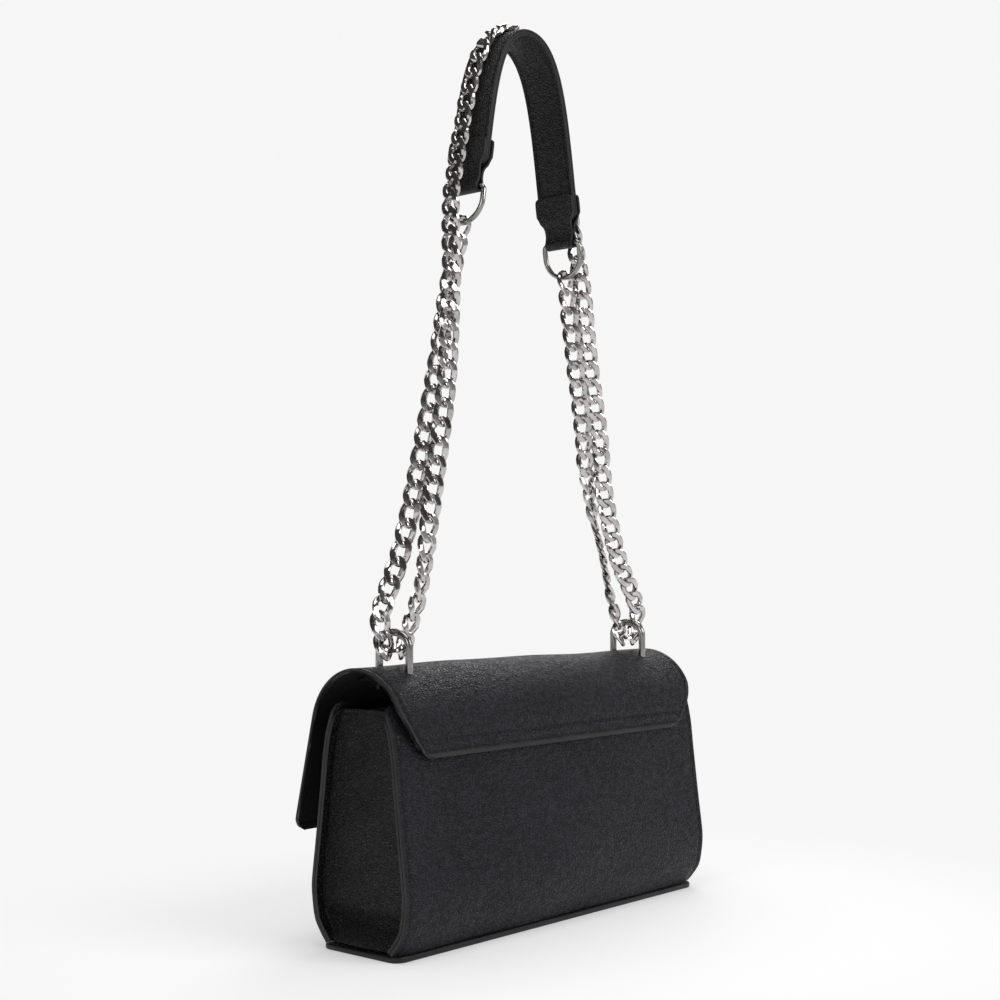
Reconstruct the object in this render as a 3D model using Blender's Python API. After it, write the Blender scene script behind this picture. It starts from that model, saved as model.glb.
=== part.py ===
"""Structured pochette bag with a turning flap and a shoulder strap of curb chain.

The bag stands on its base, +Z up. The flap falls over the front, which looks along -Y, and the
chain runs through two staples in the flap's crown. The origin is the centre of the base.
Lengths are in metres.
"""

import math

import bmesh
import bpy
import numpy as np
from mathutils import Matrix, Vector
from mathutils.bvhtree import BVHTree

# Body of the bag
BAG_WIDTH = 0.270
BAG_DEPTH = 0.072
BAG_HEIGHT = 0.132
PANEL_THICKNESS = 0.0020
GUSSET_THICKNESS = 0.0016
LINING_THICKNESS = 0.0008
SEAM_FLANGE = 0.006
BACK_CROWN = 0.004
FRONT_CROWN = 0.012
CROWN_MARGIN = 0.012
GUSSET_DIMPLE = 0.004
GUSSET_DROP = 0.003
BASE_THICKNESS = 0.0032
BASE_LEDGE = 0.0013
BASE_CHAMFER = 0.005
BOARD_THICKNESS = 0.0020
LINING_EASE = 0.0010
LINING_CORNER = 0.006
LINING_DROP = 0.001
POCKET_WIDTH = 0.130
POCKET_FOOT = 0.035
POCKET_DROP = 0.032

# Gap between pieces that touch, and the distance at which doubled points are one point
FIT_GAP = 0.0003
WELD = 0.00001

# Flap, from its stitched strip on the back over the crown to the front edge
SEAT_DROP = 0.0285
HINGE_DROP = 0.016
CROWN_EASE = 0.0005
FLAP_FALL_SHARE = 0.4977273
FLAP_STAND_OUT = 0.0090039
FLAP_LEATHER = 0.0014
FLAP_LINING = 0.0010
ROOT_HALF_WIDTH = 0.1165
FLAP_HALF_WIDTH = 0.132
FLARE_LENGTH = 0.048
FLAP_CORNER = 0.011

# Staples through the crown
STAPLE_SPACING = 0.2132
STAPLE_WIDTH = 0.0228
STAPLE_WIRE = 0.0043
STAPLE_LEG = 0.0093
STAPLE_RISE = 0.0195
STRAP_PLANE = -0.002
PLATE_THICKNESS = 0.0012
PLATE_WIDTH = 0.014
NUT_RADIUS = 0.0045
NUT_HEIGHT = 0.0032
SWING_HEIGHT = 0.0088

# Snap that holds the flap down
SNAP_HEIGHT_SHARE = 0.5833333
STUD_RADIUS = 0.0060
STUD_HEIGHT = 0.0026
SOCKET_RADIUS = 0.0075
SNAP_GAP = 0.0004
SNAP_EDGE = 0.0005

# Shoulder pad
PAD_RISE = 0.389
PAD_CENTRE = 0.006
PAD_HALF_SPAN = 0.0433
PAD_DROP = 0.106
PAD_RUN = 0.2484
PAD_SLIP = 0.0096
PAD_WIDTH = 0.027
PAD_LEATHER = 0.0011
PAD_CORE = 0.0012
PAD_END = 0.013
TAB_WIDTH = 0.029
TAB_NECK_WIDTH = 0.0175
TAB_LENGTH = 0.027
TAB_THICKNESS = 0.0014
TAB_PINCH = 0.0005
TAB_NECK_START = 0.0045
TAB_NECK_END = 0.0095
TAB_CORNER = 0.003

# D-rings
RING_WIDTH = 0.030
RING_HEIGHT = 0.024
RING_WIRE = 0.0032
RING_CORNER = 0.003
RING_SHOULDER = 0.008

# Curb chain
LINK_PITCH = 0.0106
LINK_WIDTH = 0.012
LINK_WIRE = 0.0028
LINK_FLAT = 0.0022
LINK_TWIST = 0.0018
LINK_BITE = 0.0004
JOIN_SLACK = 0.0007
CHAIN_LIFT_TOP = 0.0048
CHAIN_LIFT_END = 0.0125
CHAIN_SWAY = 0.0062

# Side outline of the body: shares of its height over the panels' foot and of its half depth
SECTION_SHARES = (
    (0.0, 0.77),
    (0.023, 0.77),
    (0.09, 0.94),
    (0.245, 1.0),
    (0.44, 0.91),
    (0.673, 0.81),
    (0.79, 0.765),
    (0.891, 0.69),
    (1.0, 0.54),
)
# Columns of a panel between its seam margins, with a flat field in the middle for the snap
PANEL_COLUMN_SHARES = (-1.0, -0.66, -0.33, -0.09, 0.09, 0.33, 0.66, 1.0)
GUSSET_COLUMN_SHARES = (-1.0, -0.6, -0.2, 0.2, 0.6, 1.0)
# Control points of the pad's arch: shares of its half span and of its drop
ARCH_SHARES = ((0.0, 0.0), (0.69, 0.0), (0.776, 0.4415), (1.0, 1.0))
# How far each strand of chain has come, sideways and upwards, at chosen places on its way up
OUTER_RIGHT_SHARES = (
    (0.18, 0.08), (0.29, 0.16), (0.47, 0.33), (0.68, 0.50),
    (0.79, 0.62), (0.86, 0.80), (0.92, 0.91),
)
INNER_RIGHT_SHARES = ((0.08, 0.16), (0.21, 0.25), (0.41, 0.43), (0.70, 0.72))
INNER_LEFT_SHARES = (
    (0.27, 0.24), (0.42, 0.33), (0.53, 0.42), (0.63, 0.50),
    (0.73, 0.63), (0.86, 0.79),
)
OUTER_LEFT_SHARES = (
    (0.14, 0.135), (0.31, 0.205), (0.545, 0.36), (0.64, 0.50),
    (0.80, 0.67), (0.91, 0.85),
)
# Where the sideways seat and the drop of a strand's first link lie on the link in the staple
SEAT_OUT_SHARE = 0.52
SEAT_DOWN_SHARE = 0.39
SEAT_DEG = 75.0
# The shares of its way over which a strand sways out of the strap's plane and back
SWAY_RISE_SHARE = 0.14
SWAY_FALL_SHARE = 0.16

# Roll of the links along a strand, from the staple up: share of the way and degrees
ROLL_OUTER_RIGHT = ((0.0, 90.0), (0.25, 64.0), (0.58, 58.0), (1.0, 0.0))
ROLL_INNER_RIGHT = ((0.0, 80.0), (0.07, 84.0), (0.36, 126.0), (0.6, 104.0), (1.0, 90.0))
ROLL_INNER_LEFT = ((0.0, 90.0), (0.4, 62.0), (1.0, 90.0))
ROLL_OUTER_LEFT = ((0.0, -97.0), (0.10, -90.0), (0.42, -42.0), (1.0, 0.0))

PANEL_FOOT = BASE_THICKNESS + FIT_GAP
POCKET_TOP = BAG_HEIGHT - POCKET_DROP
SEAT_HEIGHT = BAG_HEIGHT - SEAT_DROP
HINGE_HEIGHT = BAG_HEIGHT - HINGE_DROP
SNAP_HEIGHT = BAG_HEIGHT * SNAP_HEIGHT_SHARE
CROWN_RADIUS = BAG_DEPTH / 2 - CROWN_EASE
FLAP_FALL = BAG_HEIGHT * FLAP_FALL_SHARE
FLAP_FLARE = math.atan2(FLAP_STAND_OUT, HINGE_HEIGHT - SNAP_HEIGHT)
PAD_TOP = BAG_HEIGHT + PAD_RISE
FLAP_TOTAL = FLAP_LEATHER + FIT_GAP + FLAP_LINING
PAD_TOTAL = 2 * PAD_LEATHER + 2 * FIT_GAP + PAD_CORE
STAPLE_X = STAPLE_SPACING / 2
LINK_REACH = LINK_PITCH + LINK_WIRE - LINK_BITE
CROWN_HALF = BAG_WIDTH / 2 - SEAM_FLANGE - CROWN_MARGIN

ARC_STEPS = 12
ROOT_STEPS = 2
FALL_STEPS = 4
CORNER_STEPS = 3
LINK_STATIONS = 8


def clear_scene():
    for old in list(bpy.data.objects):
        bpy.data.objects.remove(old, do_unlink=True)


def finish(name, colour, roughness, metallic=0.0):
    """A Principled material of one colour."""
    material = bpy.data.materials.new(name)
    material.use_nodes = True
    surface = material.node_tree.nodes["Principled BSDF"]
    surface.inputs["Base Color"].default_value = (*colour, 1.0)
    surface.inputs["Roughness"].default_value = roughness
    surface.inputs["Metallic"].default_value = metallic
    material.diffuse_color = (*colour, 1.0)
    return material


def pivot(name, place):
    """An empty that stands on a joint's axis and carries what turns there."""
    empty = bpy.data.objects.new(name, None)
    empty.location = place
    bpy.context.scene.collection.objects.link(empty)
    return empty


def add_part(name, data, material, carrier=None):
    """Puts a shape made in the bag's own frame into the scene, its origin on its carrier's axis."""
    data.materials.append(material)
    part = bpy.data.objects.new(name, data)
    bpy.context.scene.collection.objects.link(part)
    if carrier is not None:
        data.transform(Matrix.Translation(-carrier.matrix_basis.translation))
        part.parent = carrier
    if hasattr(data, "set_sharp_from_angle"):
        data.shade_smooth()
        data.set_sharp_from_angle(angle=math.radians(40.0))
    return part


def mesh_from(bm, name):
    mesh = bpy.data.meshes.new(name)
    bm.to_mesh(mesh)
    bm.free()
    return mesh


def laid_grid(columns, rows, place, closed=False):
    """A grid of faces whose point (i, j) lies at place(i, j); closed joins its meeting edges."""
    bm = bmesh.new()
    bmesh.ops.create_grid(bm, x_segments=columns, y_segments=rows, size=0.5)
    for vert in bm.verts:
        i = round((vert.co.x + 0.5) * columns)
        j = round((vert.co.y + 0.5) * rows)
        vert.co = place(i, j)
    if closed:
        bmesh.ops.remove_doubles(bm, verts=bm.verts, dist=WELD)
    return bm


def thicken(part, thickness, side):
    """Gives a sheet its thickness; side 1 grows along its normals and -1 against them."""
    solid = part.modifiers.new("thickness", "SOLIDIFY")
    solid.thickness = thickness
    solid.offset = side
    solid.use_even_offset = True
    return solid


def cut(part, cutter):
    hole = part.modifiers.new("cut", "BOOLEAN")
    hole.operation = "DIFFERENCE"
    hole.solver = "EXACT"
    hole.object = cutter
    return hole


def section_outline(inset, foot, top):
    """Half depths and heights of the side outline moved in by inset, from foot to top."""
    rise = BAG_HEIGHT - PANEL_FOOT
    knots = [
        Vector((depth * BAG_DEPTH / 2, PANEL_FOOT + height * rise))
        for height, depth in SECTION_SHARES
    ]
    sides = []
    for low, high in zip(knots, knots[1:]):
        along = (high - low).normalized()
        inward = Vector((-along.y, along.x))
        sides.append((low + inward * inset, along))
    moved = [sides[0][0]]
    for (point, along), (other, onward) in zip(sides, sides[1:]):
        turn = along.x * onward.y - along.y * onward.x
        reach = ((other - point).x * onward.y - (other - point).y * onward.x) / turn
        moved.append(point + along * reach)
    point, along = sides[-1]
    moved.append(point + along * ((knots[-1].y - point.y) / along.y))
    depths = [p.x for p in moved]
    heights = [p.y for p in moved]
    between = [p for p in moved if foot + PANEL_THICKNESS / 4 < p.y < top - PANEL_THICKNESS / 4]
    ends = [Vector((float(np.interp(z, heights, depths)), z)) for z in (foot, top)]
    return [ends[0], *between, ends[1]]


def half_depth(height, inset=0.0):
    outline = section_outline(inset, PANEL_FOOT, BAG_HEIGHT)
    return float(np.interp(height, [p.y for p in outline], [p.x for p in outline]))


def panel_crown(x, z, crown, crown_top):
    """How far a filled panel swells past the plain outline."""
    if abs(x) >= CROWN_HALF or z >= crown_top:
        return 0.0
    across = math.cos(math.pi / 2 * x / CROWN_HALF) ** 2
    upward = math.sin(math.pi * (z - PANEL_FOOT) / (crown_top - PANEL_FOOT)) ** 2
    return crown * across * upward


def body_panel(name, side, crown, crown_top, material):
    """The front (side -1) or back (side 1) panel, a sheet bent over the side outline."""
    outline = section_outline(0.0, PANEL_FOOT, BAG_HEIGHT)
    half = BAG_WIDTH / 2
    columns = [-half, *(share * CROWN_HALF for share in PANEL_COLUMN_SHARES), half]

    def place(i, j):
        x = columns[i] * -side
        depth, z = outline[j]
        return Vector((x, side * (depth + panel_crown(x, z, crown, crown_top)), z))

    bm = laid_grid(len(columns) - 1, len(outline) - 1, place)
    part = add_part(name, mesh_from(bm, name), material)
    thicken(part, PANEL_THICKNESS, -1)
    return part


def gusset(name, side, material):
    """A dimpled side wall with its edges turned outwards against the panels and the base."""
    inset = PANEL_THICKNESS + FIT_GAP
    outline = section_outline(inset, PANEL_FOOT, BAG_HEIGHT - GUSSET_DROP)
    wall = BAG_WIDTH / 2 - SEAM_FLANGE
    foot = outline[0].y
    rise = outline[-1].y - foot

    def place(i, j):
        depth, z = outline[j]
        share = GUSSET_COLUMN_SHARES[i]
        dimple = GUSSET_DIMPLE * math.cos(math.pi / 2 * share) * math.sin(math.pi / 2 * (z - foot) / rise)
        return Vector((side * (wall - dimple), side * share * depth, z))

    bm = laid_grid(len(GUSSET_COLUMN_SHARES) - 1, len(outline) - 1, place)
    top = outline[-1].y
    seams = [
        edge
        for edge in bm.edges
        if edge.is_boundary and min(vert.co.z for vert in edge.verts) < top - WELD
    ]
    flange = bmesh.ops.extrude_edge_only(bm, edges=seams)["geom"]
    for vert in flange:
        if isinstance(vert, bmesh.types.BMVert):
            vert.co.x = side * BAG_WIDTH / 2
    bmesh.ops.recalc_face_normals(bm, faces=bm.faces)
    bm.normal_update()
    middle = min(bm.faces, key=lambda face: abs(face.calc_center_median().x))
    if middle.normal.x * side < 0:
        bmesh.ops.reverse_faces(bm, faces=bm.faces)
    part = add_part(name, mesh_from(bm, name), material)
    thicken(part, GUSSET_THICKNESS, 1)
    return part


def slab(name, size, foot, material, chamfer=0.0):
    """A flat plate whose underside is at foot, with its upright edges chamfered."""
    bm = bmesh.new()
    bmesh.ops.create_cube(bm, size=1.0)
    bmesh.ops.scale(bm, vec=Vector(size), verts=bm.verts)
    bmesh.ops.translate(bm, vec=Vector((0, 0, foot + size[2] / 2)), verts=bm.verts)
    if chamfer:
        upright = [e for e in bm.edges if abs(e.verts[0].co.z - e.verts[1].co.z) > size[2] / 2]
        bmesh.ops.bevel(
            bm, geom=upright, offset=chamfer, segments=1, profile=0.5, affect="EDGES", material=-1
        )
    return add_part(name, mesh_from(bm, name), material)


def lining_cup(name, material):
    """The fabric lining, an open cup that follows the body's walls from inside."""
    foot = PANEL_FOOT + BOARD_THICKNESS + 2 * FIT_GAP
    outline = section_outline(PANEL_THICKNESS + LINING_EASE, foot, BAG_HEIGHT - LINING_DROP)
    half = BAG_WIDTH / 2 - SEAM_FLANGE - GUSSET_DIMPLE - LINING_EASE
    turns = 3
    around = 4 * turns

    def place(i, j):
        depth, z = outline[j]
        corner, step = divmod(i % around, turns)
        angle = math.pi / 2 * (corner + step / (turns - 1))
        cx = (half - LINING_CORNER) * (1 if corner in (0, 3) else -1)
        cy = (depth - LINING_CORNER) * (1 if corner in (0, 1) else -1)
        return Vector((cx + LINING_CORNER * math.cos(angle), cy + LINING_CORNER * math.sin(angle), z))

    bm = laid_grid(around, len(outline) - 1, place, closed=True)
    rim = [
        edge
        for edge in bm.edges
        if edge.is_boundary and max(vert.co.z for vert in edge.verts) < foot + WELD
    ]
    bmesh.ops.contextual_create(bm, geom=rim)
    bmesh.ops.recalc_face_normals(bm, faces=bm.faces)
    bm.normal_update()
    floor = min(bm.faces, key=lambda face: face.calc_center_median().z)
    if floor.normal.z > 0:
        bmesh.ops.reverse_faces(bm, faces=bm.faces)
    part = add_part(name, mesh_from(bm, name), material)
    thicken(part, LINING_THICKNESS, -1)
    return part


def slip_pocket(name, material):
    """A flat pocket sewn to the inside of the lining at the back."""
    inset = PANEL_THICKNESS + LINING_EASE + LINING_THICKNESS + FIT_GAP
    outline = section_outline(inset, POCKET_FOOT, POCKET_TOP)

    def place(i, j):
        return Vector((POCKET_WIDTH / 2 * (1 - 2 * i), outline[j].x, outline[j].y))

    bm = laid_grid(1, len(outline) - 1, place)
    part = add_part(name, mesh_from(bm, name), material)
    thicken(part, LINING_THICKNESS, -1)
    return part


class FlapPath:
    """The flap's outer face in the Y-Z plane: up the back, over the crown and down the front."""

    def __init__(self):
        self.hinge_y = half_depth(SEAT_HEIGHT) + FIT_GAP + FLAP_TOTAL
        self.centre_y = self.hinge_y - CROWN_RADIUS
        self.root = HINGE_HEIGHT - SEAT_HEIGHT
        self.turn = math.pi - FLAP_FLARE
        self.arc = CROWN_RADIUS * self.turn
        self.length = self.root + self.arc + FLAP_FALL

    def at(self, run, depth=0.0):
        """The point depth under the outer face at a run from the lower back edge, and its normal."""
        if run <= self.root:
            return Vector((0, self.hinge_y - depth, SEAT_HEIGHT + run)), Vector((0, 1, 0))
        angle = min((run - self.root) / CROWN_RADIUS, self.turn)
        normal = Vector((0, math.cos(angle), math.sin(angle)))
        centre = Vector((0, self.centre_y, HINGE_HEIGHT))
        point = centre + normal * (CROWN_RADIUS - depth)
        over = run - self.root - self.arc
        if over > 0:
            point += Vector((0, -normal.z, normal.y)) * over
        return point, normal

    def arc_run(self, step):
        return self.root + self.arc * step / ARC_STEPS

    def step_at(self, y):
        """How many of the arc's steps lie before the crown's point over y."""
        angle = math.acos(max(-1.0, min(1.0, (y - self.centre_y) / CROWN_RADIUS)))
        return angle / self.turn * ARC_STEPS

    def half_width(self, run):
        grown = min(run / FLARE_LENGTH, 1.0)
        half = ROOT_HALF_WIDTH + (FLAP_HALF_WIDTH - ROOT_HALF_WIDTH) * grown
        left = self.length - run
        if left < FLAP_CORNER:
            half -= FLAP_CORNER - math.sqrt(FLAP_CORNER**2 - (FLAP_CORNER - left) ** 2)
        return half

    def height(self, y, depth=0.0):
        """Height of the crown over y, depth under its outer face."""
        return HINGE_HEIGHT + math.sqrt((CROWN_RADIUS - depth) ** 2 - (y - self.centre_y) ** 2)


def flap_sheet(name, path, runs, depth, thickness, material, carrier=None, centre=0.0, half=None):
    """One layer of the flap or of a plate under it, depth below the outer face."""
    columns = 1 if half else 6

    def place(i, j):
        point, _ = path.at(runs[j], depth)
        reach = half if half else path.half_width(runs[j])
        point.x = centre + reach * (2 * i / columns - 1)
        return point

    bm = laid_grid(columns, len(runs) - 1, place)
    part = add_part(name, mesh_from(bm, name), material, carrier)
    thicken(part, thickness, 1)
    return part


def flap_runs(path):
    """Rows of the moving flap, closer together round its front corners."""
    runs = [path.root + FIT_GAP]
    runs += [path.arc_run(step) for step in range(1, ARC_STEPS + 1)]
    straight = FLAP_FALL - FLAP_CORNER
    runs += [path.root + path.arc + straight * step / FALL_STEPS for step in range(1, FALL_STEPS + 1)]
    for step in range(1, CORNER_STEPS + 1):
        runs.append(path.length - FLAP_CORNER * (1 - math.sin(math.pi / 2 * step / CORNER_STEPS)))
    return runs


def wire(name, points, thickness, material, carrier=None, cyclic=False):
    """A round wire through points."""
    curve = bpy.data.curves.new(name, "CURVE")
    curve.dimensions = "3D"
    curve.bevel_depth = thickness / 2
    curve.bevel_resolution = 2
    curve.use_fill_caps = True
    line = curve.splines.new("POLY")
    line.points.add(len(points) - 1)
    for knot, point in zip(line.points, points):
        knot.co = (*point, 1.0)
    line.use_cyclic_u = cyclic
    line.use_smooth = True
    return add_part(name, curve, material, carrier)


def drum(bm, radius, height, foot, sides):
    """A round bar standing on foot."""
    return bmesh.ops.create_cone(
        bm,
        cap_ends=True,
        segments=sides,
        radius1=radius,
        radius2=radius,
        depth=height,
        matrix=Matrix.Translation(foot + Vector((0, 0, height / 2))),
    )


def staple_legs(path):
    return [STRAP_PLANE + STAPLE_WIDTH / 2, STRAP_PLANE - STAPLE_WIDTH / 2]


def nut_top(path, y):
    """The highest place a nut can take under the curved plate."""
    under = FLAP_TOTAL + FIT_GAP + PLATE_THICKNESS
    reach = abs(y - path.centre_y) + NUT_RADIUS
    flat = math.cos(path.turn / ARC_STEPS / 2)
    return HINGE_HEIGHT + math.sqrt(((CROWN_RADIUS - under) * flat) ** 2 - reach**2) - FIT_GAP


def staple(name, x, path, metal, carrier):
    """A wire staple with flattened arch, its legs down through the crown into their nuts."""
    crest = path.height(STRAP_PLANE)
    legs = staple_legs(path)
    shoulder = crest + STAPLE_LEG
    rise = STAPLE_RISE - STAPLE_WIRE / 2 - STAPLE_LEG
    points = [Vector((x, legs[0], nut_top(path, legs[0]) - NUT_HEIGHT))]
    steps = 10
    for step in range(steps + 1):
        angle = math.pi * step / steps
        points.append(
            Vector((x, STRAP_PLANE + STAPLE_WIDTH / 2 * math.cos(angle), shoulder + rise * math.sin(angle)))
        )
    points.append(Vector((x, legs[1], nut_top(path, legs[1]) - NUT_HEIGHT)))
    return wire(name, points, STAPLE_WIRE, metal, carrier)


def leg_cutter(name, path, carrier):
    """The clearance holes of all four staple legs."""
    bm = bmesh.new()
    crest = path.height(STRAP_PLANE)
    for x in (-STAPLE_X, STAPLE_X):
        for y in staple_legs(path):
            foot = nut_top(path, y) - 2 * NUT_HEIGHT
            radius = STAPLE_WIRE / 2 + FIT_GAP
            drum(bm, radius, crest + STAPLE_LEG - foot, Vector((x, y, foot)), 12)
    cutter = add_part(name, mesh_from(bm, name), bpy.data.materials.new(name), carrier)
    cutter.hide_render = True
    cutter.display_type = "WIRE"
    return cutter


def nut(name, x, y, path, metal, carrier):
    bm = bmesh.new()
    drum(bm, NUT_RADIUS, NUT_HEIGHT, Vector((x, y, nut_top(path, y) - NUT_HEIGHT)), 6)
    return add_part(name, mesh_from(bm, name), metal, carrier)


def tilted_disc(name, radius, start, inward, height, metal, carrier=None):
    """A round snap half whose outer face starts at start and that grows inward."""
    bm = bmesh.new()
    drum(bm, radius, height, Vector((0, 0, 0)), 20)
    far = [e for e in bm.edges if min(v.co.z for v in e.verts) > height / 2]
    bmesh.ops.bevel(
        bm, geom=far, offset=SNAP_EDGE, segments=1, profile=0.5, affect="EDGES", material=-1
    )
    turn = Vector((0, 0, 1)).rotation_difference(inward).to_matrix().to_4x4()
    bmesh.ops.transform(bm, matrix=Matrix.Translation(start) @ turn, verts=bm.verts)
    return add_part(name, mesh_from(bm, name), metal, carrier)


def snap(path, front, metal, flap_pivot):
    """The stud under the flap and the socket on the front panel, face to face."""
    drop = (path.at(path.root + path.arc)[0].z - SNAP_HEIGHT) / math.cos(FLAP_FLARE)
    point, normal = path.at(path.root + path.arc + drop, FLAP_TOTAL)
    inward = -normal
    start = point + inward * FIT_GAP
    tilted_disc("snap_stud", STUD_RADIUS, start, inward, STUD_HEIGHT, metal, flap_pivot)
    face = start + inward * (STUD_HEIGHT + SNAP_GAP)
    bpy.context.view_layer.update()
    panel = BVHTree.FromObject(front, bpy.context.evaluated_depsgraph_get())
    reach = []
    along = Vector((0, -normal.z, normal.y))
    for step in range(16):
        angle = 2 * math.pi * step / 16
        rim = Vector((SOCKET_RADIUS * math.cos(angle), 0, 0)) + along * SOCKET_RADIUS * math.sin(angle)
        for share in (0.5, 1.0):
            hit = panel.ray_cast(face + rim * share, inward)
            if hit[0] is not None:
                reach.append(hit[3])
    height = min(reach) - FIT_GAP
    back = face + inward * height
    tilted_disc("snap_socket", SOCKET_RADIUS, back, -inward, height, metal)


class StrapArch:
    """Centre line of the shoulder pad in the X-Z plane, measured from its top along each side."""

    def __init__(self):
        control = np.array([(PAD_HALF_SPAN * h, PAD_DROP * d) for h, d in ARCH_SHARES])
        t = np.linspace(0.0, 1.0, 241)[:, None]
        self.line = (
            (1 - t) ** 3 * control[0]
            + 3 * (1 - t) ** 2 * t * control[1]
            + 3 * (1 - t) * t**2 * control[2]
            + t**3 * control[3]
        )
        steps = np.diff(self.line, axis=0)
        self.runs = np.concatenate([[0.0], np.cumsum(np.hypot(steps[:, 0], steps[:, 1]))])
        self.length = float(self.runs[-1])
        slope = control[3] - control[2]
        self.end_slope = slope / np.hypot(*slope)

    def at(self, run, lift=0.0):
        """Point, outward normal and downward tangent; a run over 0 lies on the right (+X) side."""
        side = 1.0 if run >= 0 else -1.0
        run = abs(run)
        if run <= self.length:
            h, d = (float(np.interp(run, self.runs, self.line[:, k])) for k in (0, 1))
            near, far = max(run - LINK_PITCH / 8, 0.0), min(run + LINK_PITCH / 8, self.length)
            ends = [[float(np.interp(r, self.runs, self.line[:, k])) for k in (0, 1)] for r in (near, far)]
            slope = np.array(ends[1]) - np.array(ends[0])
            slope = slope / np.hypot(*slope)
        else:
            slope = self.end_slope
            h, d = self.line[-1] + slope * (run - self.length)
        if run < WELD:
            slope = np.array((1.0, 0.0))
        tangent = Vector((side * slope[0], 0, -slope[1]))
        normal = Vector((side * slope[1], 0, slope[0]))
        point = Vector((PAD_CENTRE + side * h, STRAP_PLANE, PAD_TOP - d)) + normal * lift
        return point, normal, tangent


def bar_run(side):
    """Where the D-ring's bar lies along the arch on the right (1) or left (-1)."""
    return side * (PAD_RUN / 2 - side * PAD_SLIP)


def pad_layer(name, arch, lift, thickness, material, carrier):
    """One layer of the pad; lift is the height of its inner face over the pad's centre line."""
    first, last = bar_run(-1) + PAD_END, bar_run(1) - PAD_END
    laps = TAB_LENGTH - PAD_END
    steps = 20
    runs = [first, first + laps]
    runs += [first + laps + (last - first - 2 * laps) * step / steps for step in range(1, steps)]
    runs += [last - laps, last]

    def place(i, j):
        point, _, _ = arch.at(runs[j], lift)
        point.y += PAD_WIDTH / 2 * (1 - i)
        return point

    bm = laid_grid(2, len(runs) - 1, place)
    part = add_part(name, mesh_from(bm, name), material, carrier)
    thicken(part, thickness, 1)
    return part


def pad_tab(name, side, arch, material, carrier):
    """A leather tab that folds round the D-ring's bar and laps over both faces of the pad."""
    lap = PAD_TOTAL / 2 + FIT_GAP
    wrap = RING_WIRE / 2 + FIT_GAP + FIT_GAP / 2
    wide, neck = TAB_WIDTH / 2, TAB_NECK_WIDTH / 2
    leg = [
        (TAB_LENGTH, lap, wide - TAB_CORNER),
        (TAB_LENGTH - TAB_CORNER, lap, wide),
        (PAD_END - FIT_GAP, lap, wide),
        (TAB_NECK_END, TAB_PINCH, neck),
        (TAB_NECK_START, TAB_PINCH, neck),
    ]
    turns = 6
    bend = [
        (
            wrap * math.cos(math.radians(50.0 + 260.0 * step / turns)),
            wrap * math.sin(math.radians(50.0 + 260.0 * step / turns)),
            neck,
        )
        for step in range(turns + 1)
    ]
    rows = leg + bend + [(back, -lift, half) for back, lift, half in reversed(leg)]
    columns = 2

    def place(i, j):
        back, lift, half = rows[j]
        point, _, _ = arch.at(bar_run(side) - side * back, lift)
        point.y += side * half * (2 * i / columns - 1)
        return point

    bm = laid_grid(columns, len(rows) - 1, place)
    part = add_part(name, mesh_from(bm, name), material, carrier)
    thicken(part, TAB_THICKNESS, -1)
    return part


def ring_drop():
    return RING_HEIGHT - RING_WIRE


def d_ring(name, side, arch, metal, carrier):
    """A D-ring that hangs from its bar in the plane across the strap."""
    bar, _, down = arch.at(bar_run(side))
    half = (RING_WIDTH - RING_WIRE) / 2
    bend = RING_CORNER * (1 - math.sqrt(0.5))
    right = [(half - RING_CORNER, 0.0), (half - bend, bend), (half, RING_CORNER)]
    steps = 5
    for step in range(steps + 1):
        angle = math.pi / 2 * step / steps
        right.append(
            (half * math.cos(angle), RING_SHOULDER + (ring_drop() - RING_SHOULDER) * math.sin(angle))
        )
    outline = right + [(-y, drop) for y, drop in reversed(right[:-1])]
    points = [bar + Vector((0, y, 0)) + down * drop for y, drop in outline]
    return wire(name, points, RING_WIRE, metal, carrier, cyclic=True)


def link_mesh(name, reach):
    """A twisted oval of flattened wire; reach is the length of its centre line."""
    corner = math.cos(math.pi / LINK_STATIONS)
    long_half = reach / corner / 2
    wide_half = (LINK_WIDTH - LINK_WIRE) / corner / 2

    def place(i, j):
        t = 2 * math.pi * (i % LINK_STATIONS + 0.5) / LINK_STATIONS
        centre = Vector((long_half * math.cos(t), wide_half * math.sin(t), -LINK_TWIST * math.sin(2 * t)))
        along = Vector(
            (-long_half * math.sin(t), wide_half * math.cos(t), -2 * LINK_TWIST * math.cos(2 * t))
        ).normalized()
        out = Vector((math.cos(t) / long_half, math.sin(t) / wide_half, 0.0))
        out = (out - along * out.dot(along)).normalized()
        up = along.cross(out)
        a = math.pi / 2 * (j % 4 + 0.5)
        edge = math.sqrt(0.5)
        return centre + out * (LINK_WIRE * edge * math.cos(a)) + up * (LINK_FLAT * edge * math.sin(a))

    bm = laid_grid(LINK_STATIONS, 4, place, closed=True)
    bmesh.ops.recalc_face_normals(bm, faces=bm.faces)
    return mesh_from(bm, name)


def link_pose(centre, along, roll):
    """Frame of a link: its length along the strand, its width turned by roll from the Y axis."""
    along = along.normalized()
    width = Vector((0, 1, 0))
    width = (width - along * width.dot(along)).normalized()
    thick = along.cross(width)
    turned = width * math.cos(roll) + thick * math.sin(roll)
    frame = Matrix((along, turned, along.cross(turned))).transposed().to_4x4()
    return Matrix.Translation(centre) @ frame


def even_places(line, count):
    """Count + 1 places at equal runs along a line of points."""
    steps = np.diff(line, axis=0)
    runs = np.concatenate([[0.0], np.cumsum(np.linalg.norm(steps, axis=1))])
    wanted = np.linspace(0.0, runs[-1], count + 1)
    return np.stack([np.interp(wanted, runs, line[:, k]) for k in range(3)], axis=1)


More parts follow.
